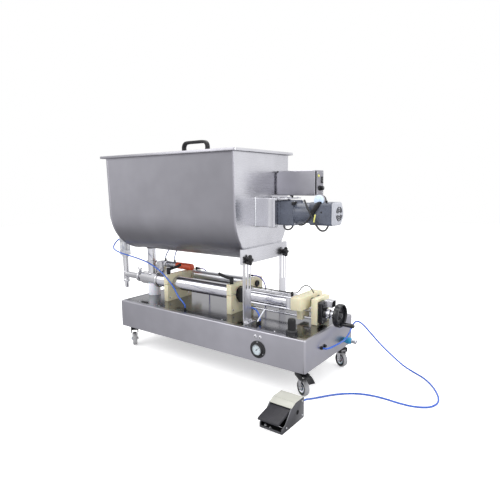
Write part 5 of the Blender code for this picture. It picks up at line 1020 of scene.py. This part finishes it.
# Bracket, legs, knobs
def supports():
    face, web = FACE_X, FACE_X + 15
    low, high, half = 548.0, 620.0, 198.0
    bracket = [block(web - 3, web, -half, half, low, high),
               block(face, web - 1, -half, half, high - 3, high),
               block(face, web - 1, half - 3, half, low, high - 1),
               block(face, web - 1, -half, -half + 3, low, high - 1)]
    piece("bracket_channel", FRAME, STEEL, bracket, nodes=("hopper_bracket",), edge=0.9, segments=3)
    leg_x = web - 3 - GAP - 4
    for where, slot_y in (("front", -163.0), ("rear", 159.0)):
        y0, y1 = slot_y - 27, slot_y + 35
        outline = [(y0, DECK + GAP), (y1, DECK + GAP)] + arc(y1 - 8, 600, 8, 0, 90, 6)
        outline += arc(y0 + 8, 600, 8, 90, 180, 6)
        cuts = [prism("x", slotted(slot_y + k * 24, 422, 596, 12.4), leg_x - 5, leg_x + 9)
                for k in (0, 1)]
        piece(f"slotted_leg_{where}", FRAME, LEG_SHEET, [prism("x", outline, leg_x, leg_x + 4)], cuts,
              nodes=(f"leg_{where}",), edge=0.5)
        foot = [(leg_x, DECK + GAP)] + [(leg_x + 30, DECK + GAP), (leg_x + 30, DECK + GAP + 4)]
        foot += [(leg_x + 9, DECK + GAP + 4)] + arc(leg_x + 9, DECK + GAP + 9, 5, 270, 180, 5)
        foot += [(leg_x, DECK + GAP + 9)]
        piece(f"leg_foot_{where}", FRAME, LEG_SHEET, [prism("y", foot, y0, y1)], edge=0.5)
        piece(f"leg_bolts_{where}", FRAME, BRIGHT, [
            shape for k in (14, 48) for shape in (
                turned("z", leg_x + 18, y0 + k, [(DECK + 4.2, 0), (DECK + 4.2, 8), (DECK + 5.6, 8),
                                                 (DECK + 5.6, 0)], 28),
                hexagon("z", leg_x + 18, y0 + k, DECK + 5.4, 1, 10, 5, 20))], edge=0.5)
        head = web + GAP
        knob_z = 568
        piece(f"star_head_{where}", f"star_knob_{where}", BLACK, [
            lobed("x", slot_y, knob_z, [(7, 23.6), (8.5, 25.4), (11, 26), (18, 26), (20.5, 25.2),
                                        (22, 23.4)], 11, 5, at=head),
            turned("x", slot_y, knob_z, [(0, 0), (0, 11), (1, 12), (8, 13.5), (22, 13), (25, 11.5),
                                         (26, 9), (26, 0)], 48, head)],
            nodes=(f"star_knob_{where}",))
        piece(f"star_stud_{where}", f"star_knob_{where}", ZINC, [
            turned("x", slot_y, knob_z, [(face + 2, 0), (face + 2, 4.6)]
                   + [(face + 2.6 + k * 0.75, 5.4 - 0.6 * (k % 2)) for k in range(17)]
                   + [(head, 5.2), (head, 0)], 28)])


# Mixer drive and control box
def mixer_drive():
    flange = FACE_X + 99
    gear = flange + 14 + GAP
    gear_top = SHAFT_Z + 59
    piece("drive_mount", FRAME, BRIGHT, [
        prism("x", rounded(-70, 70, SHAFT_Z - 70, SHAFT_Z + 70, 5), FACE_X, flange + 1),
        prism("x", rounded(-71, 71, SHAFT_Z - 71, SHAFT_Z + 71, 3), flange, flange + 14),
        block(flange + 2, flange + 80, -62, 62, gear_top + 6, gear_top + 10)],
        nodes=("mixer_mount",), edge=1.2, segments=3)
    piece("mount_weld", FRAME, ZINC, [ring_stack([
        [(x, u, v) for u, v in rounded(-70 - g, 70 + g, SHAFT_Z - 70 - g, SHAFT_Z + 70 + g, 6)]
        for x, g in ((FACE_X + 0.2, 4), (FACE_X + 1.4, 3), (FACE_X + 3.2, 0.2))])])
    piece("mount_bolts", FRAME, ZINC, [
        hexagon("x", a * 60, SHAFT_Z + b * 62, flange + 14, 1, 12, 6, 15)
        for a, b in CORNERS] + [
        hexagon("z", flange + 24 + 40 * k, a * 54, gear_top + 10, 1, 10, 4, 10)
        for k in (0, 1) for a in (-1, 1)], edge=0.6)
    end = gear + 85

    def body(x, y0, y1, z0, z1, radius):
        return [(x, u, v) for u, v in rounded(y0, y1, z0, z1, radius, 5)]
    case = [body(gear, -45, 45, gear_top - 116, gear_top - 2, 7),
            body(gear + 2, -47, 47, gear_top - 118, gear_top, 9),
            body(gear + 12, -47, 47, gear_top - 118, gear_top, 9),
            body(gear + 12.6, -45, 45, gear_top - 116, gear_top - 2, 8),
            body(gear + 15.4, -45, 45, gear_top - 116, gear_top - 2, 8),
            body(gear + 16, -47, 47, gear_top - 118, gear_top, 9),
            body(end - 3, -47, 47, gear_top - 118, gear_top, 9),
            body(end - 0.8, -45.6, 45.6, gear_top - 116.6, gear_top - 1.4, 8),
            body(end, -43, 43, gear_top - 114, gear_top - 4, 7)]
    piece("gear_case", FRAME, ENAMEL, [ring_stack(case)] + [
        rod("x", a * 38, SHAFT_Z + b * 50, 5, end - 0.5, end + 4, 24) for a, b in CORNERS],
        nodes=("gearbox",), edge=0.5, angle=50)
    piece("gear_case_screws", FRAME, ZINC, [
        screw("x", -38, SHAFT_Z + z, end + 3.6, 1, 4.4, 2.4) for z in (-50, 50)])
    motor, r = end + GAP, 50.0
    tail = motor + 86
    stop = tail + 123
    cover = stop - 12
    profile = [(motor, 0), (motor, r - 2), (motor + 1, r), (motor + 6, r), (motor + 7, r - 2),
               (tail - 8, r - 2), (tail - 7, r - 0.6), (tail + 1, r - 0.6), (tail + 1, 0)]

    def square(x, grow, radius=24):
        return [(x, u, v) for u, v in rounded(-r - 2 - grow, r + 2 + grow, SHAFT_Z - r - 2 - grow,
                                              SHAFT_Z + r + 2 + grow, radius, 10)]
    rear = [square(tail - 1, -3, 14), square(tail + 1, 0, 14), square(cover - 6, 0, 14),
            square(cover - 5, -1.2, 14), square(cover - 3, -1.2, 14), square(cover - 2.4, 0, 14),
            square(cover - 0.3, 0, 14)]
    piece("motor_case", FRAME, ENAMEL, [turned("x", 0, SHAFT_Z, profile, 72), ring_stack(rear)],
          nodes=("motor",))
    fan = [square(cover, -0.6, 14), square(cover + 1, 0, 16), square(cover + 4, -2, 26),
           square(stop - 3, -6, 38), square(stop - 1, -8, 40), square(stop, -10, 40)]
    piece("fan_shroud", FRAME, PALE, [ring_stack(fan)], nodes=("fan_cover",))
    # Painted shade: near-black bands on the fan cover's end where its vent openings would be, instead of
    # cut openings
    vent_shades = []
    for radius in (16, 24.5, 33):
        for start, end_angle in ((12, 84), (96, 168), (192, 264), (276, 348)):
            band = arc(0, SHAFT_Z, radius, start, end_angle, 14)
            band += arc(0, SHAFT_Z, radius - 6.6, end_angle, start, 14)
            vent_shades.append(prism("x", band, stop - 2, stop + 0.02))
    piece("fan_vent_painted_shade", FRAME, DARK, vent_shades)
    piece("fan_screws", FRAME, ZINC, [
        screw("x", a * 30, SHAFT_Z + b * 30, stop - 2, 1, 3.0, 1.9) for a, b in CORNERS])
    piece("motor_side_details", FRAME, BLACK, [
        rod("y", 578, SHAFT_Z + 8, 4.6, -r - 2.6, -r + 2, 24),
        rod("z", 601, -46, 4, SHAFT_Z + r, SHAFT_Z + r + 11, 20)])
    cx, cz = tail + 44, SHAFT_Z + r + 10
    piece("terminal_cap", FRAME, ICE, [turned("y", cx, cz, [
        (-46, 0), (-46, 21), (-45.2, 23), (-43.6, 24.5), (-41.5, 25), (-30, 25), (-29, 24), (-29, 0)])],
        extra=(PALE,), paint=lambda c, n: 0 if n.y < -0.5 else 1)
    piece("terminal_box", FRAME, BLACK, [
        turned("y", cx, cz, [(-30, 0), (-30, 24.4), (-15, 24.4), (-14, 23.6), (-14, 0)]),
        prism("z", rounded(cx - 15, cx + 16, -44, -16, 5), SHAFT_Z + r - 24, cz)], edge=1.0)
    spots = smooth([(cx + 2, -50, cz - 12), (cx - 8, -56, cz - 30), (cx - 20, -59, cz - 50),
                    (cx - 25, -60, cz - 62)], 5)
    rings = []
    for number, spot in enumerate(spots):
        wide = (15.5 if number < len(spots) * 0.75 else 11) - 0.8 * (number % 2)
        rings.append([(spot.x + wide * math.cos(a), spot.y + 0.5 * wide * math.sin(a),
                       spot.z + 0.5 * wide * math.cos(a + 0.9))
                      for a in around(20)])
    piece("cable_boot", FRAME, BLACK, [ring_stack(rings)])
    piece("motor_leads", FRAME, CABLE, [
        swept([(488, -44, 846), (496, -56, 848), (511.4, -62, 821), (530, -64, 790),
               (552, -64, 752), (573.6, -62, 723), (589, -58, 715.7), (602, -52, 721),
               (609, -44, 738)], 4.2),
        swept([(370.2, -30, gear_top - 114), (374, -34, 721), (384, -36, 712), (395, -36, 709.6),
               (408, -36, 713), (418, -34, 722), (422, -30, gear_top - 114)], 4.0),
        swept([(cx - 22, -60, cz - 56), (cx - 34, -61, cz - 74), (cx - 52, -60, cz - 96),
               (cx - 74, -57, cz - 110), (cx - 98, -48, cz - 112)], 4.2)])
    piece("earth_wire", FRAME, STRIPE, [
        swept([(556, -67, 788), (554, -69, 772), (550, -68, 754)], 3.0, 10)])
    piece("motor_plug", FRAME, BLACK, [
        prism("x", rounded(-60, -46, gear_top - 22, gear_top - 6, 4), end - 2, end + 16),
        rod("x", -54, gear_top - 8, 4.5, end + 14, end + 24, 20)], edge=0.8)


def control_box():
    x0, x1 = FACE_X + 8, FACE_X + 223
    y0, y1, z0, z1 = 111.0, 206.0, 866.0, 989.0

    def ring(x, d, radius=4):
        return [(x, u, v) for u, v in rounded(y0 + d, y1 - d, z0 + d, z1 - d, radius, 5)]
    case = ring_stack([ring(x0, 1), ring(x0 + 1, 0), ring(x1 - 2.4, 0), ring(x1 - 2.2, 0.9),
                       ring(x1 - 0.6, 0.9), ring(x1 - 0.4, 0.4), ring(x1, 1.2)])
    rock_y, rock_z = y0 + 76, z0 + 76
    piece("control_case", FRAME, CABINET, [
        case, block(FACE_X, x0 + 1, y0 + 14, y1 - 14, z0 + 14, z1 - 14)],
        nodes=("control_box",), edge=0.4)
    panel = ring_stack([[(x, u, v) for u, v in rounded(y0 + 20 + d, y1 - 4 - d, z0 + 5 + d,
                                                       z1 - 5 - d, 3, 5)]
                        for x, d in ((x1 - 0.5, 0), (x1 + 1.2, 0), (x1 + 1.5, 0.4))])
    # Painted shadow: a near-black strip on the end face along its front edge, standing in for the shadow
    # gap beside the recessed panel
    piece("control_gap_shadow", FRAME, DARK, [block(x1 - 0.4, x1 + 0.3, y0 + 8, y0 + 19, z0 + 4, z1 - 4)])
    piece("control_panel", FRAME, SHEET, [panel],
          [block(x1 - 9, x1 + 9, rock_y - 8, rock_y + 8, rock_z - 13.5, rock_z + 13.5)])
    outer = rounded(rock_y - 11, rock_y + 11, rock_z - 16.5, rock_z + 16.5, 2)
    inner = rounded(rock_y - 7.9, rock_y + 7.9, rock_z - 13.3, rock_z + 13.3, 1)
    collar = [[(x, u, v) for u, v in outline] for x, outline in (
        (x1 + 1.4, outer), (x1 + 2.8, outer), (x1 + 2.8, inner), (x1 - 6, inner))]
    piece("switch_frame", FRAME, BLACK, [ring_stack(collar, True)])
    tilt = Matrix.Rotation(math.radians(6), 2)
    section = [(2, 0), (3.2, 6), (6, 12), (-4, 12), (-6, 0), (-4, -12), (6, -12), (3.2, -6)]
    points = [tilt @ Vector(s) + Vector((x1, rock_z)) for s in section]
    piece("switch_rocker", "power_switch", GLOSS, [
        prism("y", [tuple(p) for p in points], rock_y - 7.6, rock_y + 7.6)],
        nodes=("power_switch",), edge=0.4)
    face = x1 + 1.8
    ky, kz = y0 + 54, z0 + 36
    piece("speed_knob_cap", "speed_knob", BLACK, [
        turned("x", ky, kz, [(0, 0), (0, 12.6), (1, 13), (3.6, 13), (4.6, 12), (5.4, 11),
                             (5.4, 0)], 48, face),
        lobed("x", ky, kz, [(5, 10.4), (6, 10.8), (18, 10), (20, 9.4), (21, 8)], 0.7, 20, 6,
              face)], nodes=("speed_knob",))
    piece("speed_knob_mark", "speed_knob", PALE, [
        block(face + 20.5, face + 21.4, ky - 0.8, ky + 0.8, kz + 1, kz + 8)])
    piece("pilot_lamp", FRAME, STRIPE, [turned("x", y0 + 40, z0 + 96, [
        (x1 + 1.4, 0), (x1 + 1.4, 7), (x1 + 3, 7), (x1 + 3.4, 5.5), (x1 + 5, 4.4), (x1 + 5.8, 2),
        (x1 + 5.8, 0)], 32)])
    piece("panel_corner_screws", FRAME, ZINC, [
        screw("x", y, z, x1 + 1.5, 1, 3, 1.6) for y in (y0 + 30, y1 - 13) for z in (z0 + 12, z1 - 12)])
    piece("case_screw", FRAME, BLACK, [screw("y", x0 + 5, z1 - 4, y0, -1, 4.4, 2.6)])
    piece("case_gland", FRAME, BLACK, [
        turned("z", x0 + 60, (y0 + y1) / 2, [
            (z0 + 0.5, 0), (z0 + 0.5, 9.5), (z0 - 3, 9.5), (z0 - 3.4, 8), (z0 - 10, 8),
            (z0 - 13, 6.5), (z0 - 14, 5), (z0 - 14, 0)], 32)])


# Gauge, regulator, air inlet
def panel_items():
    x, z, f, r = 365.0, 177.0, -CABINET_Y - GAP, 41.0
    piece("gauge_bezel", FRAME, GLOSS, [turned("y", x, z, [
        (f, 0), (f, r - 0.4), (f - 0.4, r), (f - 3, r), (f - 4, r - 1), (f - 4.2, r - 3),
        (f - 4.4, r - 10), (f - 5, r - 11), (f - 13, r - 12), (f - 14.4, r - 13), (f - 15, r - 14.4),
        (f - 14.6, r - 15.6), (f - 12, r - 16.6), (f - 9, r - 17), (f - 9, 0)], 80)],
        nodes=("pressure_gauge",))
    piece("gauge_dial", FRAME, DIAL, [turned("y", x, z, [
        (f - 8.8, 0), (f - 8.8, 24), (f - 9.6, 24), (f - 9.6, 0)], 64)])
    marks = []
    for k in range(31):
        a = math.radians(225 - 9 * k)
        long = 6.5 if k % 5 == 0 else 3.4
        wide = 0.45 if k % 5 == 0 else 0.22
        spin = Matrix.Translation((x, 0, z)) @ Matrix.Rotation(-a, 4, "Y")
        marks.append(moved(block(22.5 - long, 22.5, f - 9.9, f - 9.5, -wide, wide), spin))
    needle = Matrix.Translation((x, 0, z)) @ Matrix.Rotation(-math.radians(38), 4, "Y")
    pointer = prism("y", [(-6, -1.1), (19, -0.3), (19, 0.3), (-6, 1.1)], f - 11, f - 10.2)
    marks.append(moved(pointer, needle))
    marks.append(turned("y", x, z, [(f - 9.6, 0), (f - 9.6, 2.6), (f - 11.6, 2.6), (f - 11.6, 0)], 24))
    piece("gauge_marks", FRAME, BLACK, marks)
    piece("gauge_screws", FRAME, BRIGHT, [
        screw("y", x + 34.6 * math.cos(a), z + 34.6 * math.sin(a), f - 3.6, -1, 2.8, 1.6)
        for a in [math.radians(k) for k in (90, 210, 330)]])
    base = DECK + 30 + GAP
    piece("regulator_cap", "regulator_knob", BLACK, [
        lobed("z", *REGULATOR, [(0, 18), (2, 18), (36, 17.6), (40, 17.2)], 0.9, 24, 6, base),
        turned("z", *REGULATOR, [(39, 0), (39, 17.4), (44, 16.4), (47, 14.6), (48.6, 11), (49, 6),
                                 (48.4, 0)], at=base)], nodes=("regulator_knob",))
    w, y, zz = CABINET_X + GAP, 150.0, 157.0
    piece("inlet_body", FRAME, TEAL, [
        turned("x", y, zz, [(w, 0), (w, 12.4), (w + 1, 13), (w + 8, 13), (w + 9, 12.4), (w + 11, 9),
                            (w + 40, 9), (w + 40, 0)], 40),
        hexagon("x", y, zz, w + 2, 1, 22, 6)], nodes=("air_inlet",), edge=0.3)
    piece("inlet_nipple", FRAME, ZINC, [turned("x", y, zz, [
        (39, 0), (39, 8.8), (50, 8.8), (52, 10.8), (55, 10.8), (56, 9.4), (59, 9.4), (60, 10.8),
        (62, 10.8), (64, 9), (64, 5), (60, 4), (60, 0)], 40, w)])
    s = w + 11 + GAP
    sleeve = [(s, 9.6), (s, 14.4), (s + 1, 15.2), (s + 3, 15.2)]
    for k in range(5):
        sleeve += [(s + 4.2 + 3.4 * k, 16), (s + 5.6 + 3.4 * k, 16), (s + 6.4 + 3.4 * k, 14.8),
                   (s + 7 + 3.4 * k, 14.8)]
    sleeve += [(s + 24, 14.8), (s + 26, 13.4), (s + 26, 9.6)]
    piece("inlet_ring", "inlet_sleeve", TEAL, [turned("x", y, zz, sleeve, 56)], nodes=("inlet_sleeve",))


# Foot pedal
def foot_pedal():
    px, half, cheek = 624.0, 52.0, 6.0
    fitting = (640, 36)
    front, back, high = -531.0, -367.0, 88.0
    ty, tz = -446.0, 66.0
    side = [(front, 0)] + [(back, 0), (back, high - 8)] + arc(back - 8, high - 8, 8, 0, 90, 6)
    side += [(ty + 12, high), (ty - 16, high - 12), (front + 22, 30), (front, 22)]
    inner = half - cheek
    # Painted shade: the upward faces of the case's inner floor, under the treadle, take the near-black
    # finish
    piece("pedal_case", FRAME, CASTING, [prism("x", side, px - half, px + half)],
          [block(px - inner, px + inner, front - 10, ty + 12, 8, high + 10)],
          nodes=("pedal_body",), edge=1.6, segments=3, extra=(COVER, DARK),
          paint=lambda c, n: 1 if n.z > 0.6 and c.z > high - 9 else (2 if c.z < 9 and n.z > 0.8 else 0))
    piece("pedal_hood", FRAME, COVER, [prism("x", [
        (ty + 13, high), (ty - 16, high - 12), (ty - 17, high - 13.4), (ty - 16, high - 14),
        (ty + 13, high - 3)], px - inner - 0.5, px + inner + 0.5)], edge=0.4)
    piece("pedal_fitting", FRAME, BLACK, [
        hexagon("y", *fitting, back, 1, 16, 4),
        turned("y", *fitting, [(3, 0), (3, 8), (11, 8), (12, 7), (12, 4.6), (9, 4.4), (9, 0)],
               32, back)])
    # Painted shade: near-black discs in the port holes on both sides of the pedal
    piece("pedal_port_shade", FRAME, DARK, [
        turned("x", -418, 42, [(px + a * (half - 2), 0), (px + a * (half - 2), 9),
                               (px + a * (half + 0.3), 9), (px + a * (half + 0.3), 0)], 32)
        for a in (-1, 1)])
    piece("pedal_side_screws", FRAME, ZINC, [
        screw("x", y, z, px + a * half, a, 3.6, 1.8, 20) for a in (-1, 1)
        for y, z in ((-382, 14), (-382, 74), (-500, 14))])
    piece("pedal_base_rim", FRAME, BLACK, [
        block(px - half + 1, px + half - 1, front + 1, front + 4, 0.4, 10)])
    piece("pedal_spring_bits", FRAME, BRIGHT, [
        screw("z", px - 30, front + 12, 8, 1, 5, 4), screw("z", px - 6, front + 9, 8, 1, 4, 3),
        rod("x", front + 20, 18, 2.4, px - inner, px + inner, 20),
        prism("x", rounded(front + 26, front + 44, 10, 20, 3), px + inner - 5, px + inner - 1)])
    lever = [(ty, tz - 5), (-546, 40), (-551, 41), (-552, 43.4), (-551.2, 47), (-549.4, 49.4),
             (-547, 50.4), (ty - 2, tz + 7), (ty + 6, tz + 4)]
    treads = []
    for k in range(14):
        y = ty - 12 - 6.4 * k
        z = tz + 6.6 - (ty - y) * (tz + 7 - 50.4) / (ty - 2 + 547)
        treads.append(block(px - inner + 5, px + inner - 5, y - 1.5, y + 1.5, z - 2, z + 0.9))
    piece("treadle_plate", "pedal_treadle", GRIP_RUBBER, [
        prism("x", lever, px - inner + GAP, px + inner - GAP),
        rod("x", ty, tz, 7, px - inner + GAP, px + inner - GAP, 32)] + treads,
        nodes=("pedal_treadle",), edge=0.7)


# Small fixed air lines between fittings
def air_lines():
    z = SIDE_Z + SIDE_R + 10
    left, right_end = PLATE_X + PLATE + GAP + 40, MIDDLE_X - GAP + 8
    piece("rear_line_left", FRAME, VIOLET, [swept([
        (left, SIDE_Y, z), (left + 16, 118, z), (left + 34, 126, z - 6), (left + 44, 140, z - 26),
        (left + 46, 150, z - 60), (left + 46, 152, DECK + 20), (left + 46, 152, DECK + 1)], 3.0)])
    piece("rear_line_right", FRAME, VIOLET, [swept([
        (right_end, SIDE_Y, z), (right_end + 20, 118, z + 2), (right_end + 44, 122, z - 6),
        (right_end + 60, 132, z - 30), (right_end + 64, 142, z - 64), (right_end + 62, 146, DECK + 20),
        (right_end + 62, 146, DECK + 1)], 3.0)])
    piece("leg_line_blue", FRAME, BLUE, [swept([
        (228, -104, 318), (246, -116, 322), (272, -126, 319), (292, -134, 306), (303, -140, 290),
        (305, -142, DECK + 12), (304, -142, DECK + 1)], 4.4)])
    piece("leg_line_white", FRAME, CLEAR, [swept([
        (334, -140, 336), (326, -142, 324), (312, -150, 296), (306, -158, 280), (306, -162, DECK + 8)],
        3.4)])
    for number, (x, lean) in enumerate(((-560, 22), (-480, 6))):
        top = RACK_Z + 33
        run = x + lean
        piece(f"actuator_line_{number}", FRAME, BLUE, [swept([
            (x, RACK_Y, top - 4), (x + lean * 0.2, RACK_Y, top + 20), (x + lean * 0.8, 84, top + 52),
            (run, 128, 560), (run, 196, 620), (run, 244, 700), (run, 258, 762), (run, 252, 790),
            (run, 238, 796), (run, 230, 796)], 3.0)])
        piece(f"hopper_fitting_{number}", FRAME, BLACK, [turned("y", run, 796, [
            (MOUTH - 8, 0), (MOUTH - 8, 9), (MOUTH - 1, 9), (MOUTH, 7), (MOUTH + 9, 7),
            (MOUTH + 10, 5.6), (MOUTH + 10, 0)], 28)])
    piece("leg_line_fittings", FRAME, BLACK, [
        turned("z", 304, -142, [(0, 0), (0, 8), (3, 8), (3.4, 6.4), (11, 6.4), (12, 5), (12, 0)],
               28, DECK),
        turned("z", 306, -164, [(0, 0), (0, 8), (3, 8), (3.4, 6), (12, 6), (13, 5), (13, 0)],
               28, DECK)])
    piece("sensor_cable", FRAME, CABLE, [swept([
        (150, 4, 398), (230, 6, 396), (330, 8, 394), (400, 10, 394), (426, 14, 402),
        (440, 24, 424), (456, 36, 434), (472, 46, 426), (484, 54, 406), (486, 58, 396)], 2.6)])


cabinet()
casters()
plates()
product_line()
side_cylinder()
stroke_stop()
valve()
outlet()
hopper()
lid()
stirrer()
supports()
mixer_drive()
control_box()
panel_items()
foot_pedal()
air_lines()


# Studio: pale floor, even sky and soft lamps
def studio():
    floor = linked("floor", mesh_of([block(-9000, 9000, -9000, 9000, -20, -0.4)], "floor"))
    floor_glow = 0.42
    net = Net("floor_paint", (0.93, 0.93, 0.93), 0.6)
    net.tint(net.noise((1, 1, 1), 0.6, 2.0), 0.99, 1.0)
    net.shader.inputs["Emission Color"].default_value = (1, 1, 1, 1)
    path = net.node("ShaderNodeLightPath")
    shine = net.node("ShaderNodeMath", operation="MULTIPLY")
    shine.inputs[1].default_value = floor_glow
    net.link(path.outputs["Is Camera Ray"], shine.inputs[0])
    net.link(shine.outputs["Value"], net.shader.inputs["Emission Strength"])
    floor.data.materials.append(net.material)
    floor.visible_glossy = False

    sky = bpy.data.worlds.new("studio")
    bpy.context.scene.world = sky
    sky.use_nodes = True
    tree = sky.node_tree
    tree.nodes.clear()

    def put(kind, **settings):
        made = tree.nodes.new(kind)
        for key, value in settings.items():
            setattr(made, key, value)
        return made

    def ramp(source, stops):
        made = put("ShaderNodeValToRGB")
        elements = made.color_ramp.elements
        while len(elements) < len(stops):
            elements.new(0.5)
        for element, (spot, tone) in zip(elements, stops):
            element.position = spot
            element.color = (tone, tone, tone * 1.03, 1.0)
        tree.links.new(source, made.inputs["Fac"])
        return made.outputs["Color"]

    place = put("ShaderNodeTexCoord")
    split = put("ShaderNodeSeparateXYZ")
    tree.links.new(place.outputs["Generated"], split.inputs["Vector"])
    side = put("ShaderNodeVectorMath", operation="DOT_PRODUCT")
    side.inputs[1].default_value = (0.47, -0.17, 0.0)
    tree.links.new(place.outputs["Generated"], side.inputs[0])
    half = put("ShaderNodeMath", operation="ADD")
    half.inputs[1].default_value = 0.5
    tree.links.new(side.outputs["Value"], half.inputs[0])
    walls = ramp(half.outputs["Value"], [(0.0, 0.50), (0.22, 0.56), (0.38, 0.92), (0.46, 0.92),
                                         (0.52, 0.50), (0.60, 0.86), (1.0, 0.95)])
    height = put("ShaderNodeMapRange")
    height.inputs["From Min"].default_value = -1.0
    tree.links.new(split.outputs["Z"], height.inputs["Value"])
    upper = ramp(height.outputs["Result"], [(0.0, 0.0), (0.53, 0.0), (0.74, 1.0), (1.0, 1.0)])
    lower = ramp(height.outputs["Result"], [(0.0, 1.0), (0.14, 0.9), (0.30, 0.15), (0.42, 0.0)])
    top = put("ShaderNodeMix", data_type="RGBA")
    top.inputs[7].default_value = (1.0, 1.0, 1.0, 1.0)
    base = put("ShaderNodeMix", data_type="RGBA")
    base.inputs[7].default_value = (0.24, 0.24, 0.25, 1.0)
    for mix, share, source in ((top, upper, walls), (base, lower, top.outputs[2])):
        tree.links.new(share, mix.inputs[0])
        tree.links.new(source, mix.inputs[6])
    glow = put("ShaderNodeBackground")
    glow.inputs["Strength"].default_value = 1.15
    tree.links.new(base.outputs[2], glow.inputs["Color"])
    plain = put("ShaderNodeBackground")
    seen = put("ShaderNodeLightPath")
    choice = put("ShaderNodeMixShader")
    tree.links.new(seen.outputs["Is Camera Ray"], choice.inputs["Fac"])
    tree.links.new(glow.outputs["Background"], choice.inputs[1])
    tree.links.new(plain.outputs["Background"], choice.inputs[2])
    plain.inputs["Color"].default_value = (1.0, 1.0, 1.0, 1.0)
    out = put("ShaderNodeOutputWorld")
    tree.links.new(choice.outputs["Shader"], out.inputs["Surface"])

    for name, at, size, power in (("key", (-1800, -2600, 2600), 2.4, 34),
                                  ("fill", (3000, -700, 2000), 2.6, 30),
                                  ("top", (0, 300, 3200), 3.2, 60)):
        lamp = bpy.data.lights.new(name, "AREA")
        lamp.shape, lamp.size, lamp.energy = "DISK", size, power
        obj = linked(name, lamp)
        obj.location = world(*at)
        aim = world(0, 0, 500) - obj.location
        obj.rotation_euler = aim.to_track_quat("-Z", "Y").to_euler()
    bpy.context.scene.view_settings.view_transform = "Standard"


studio()
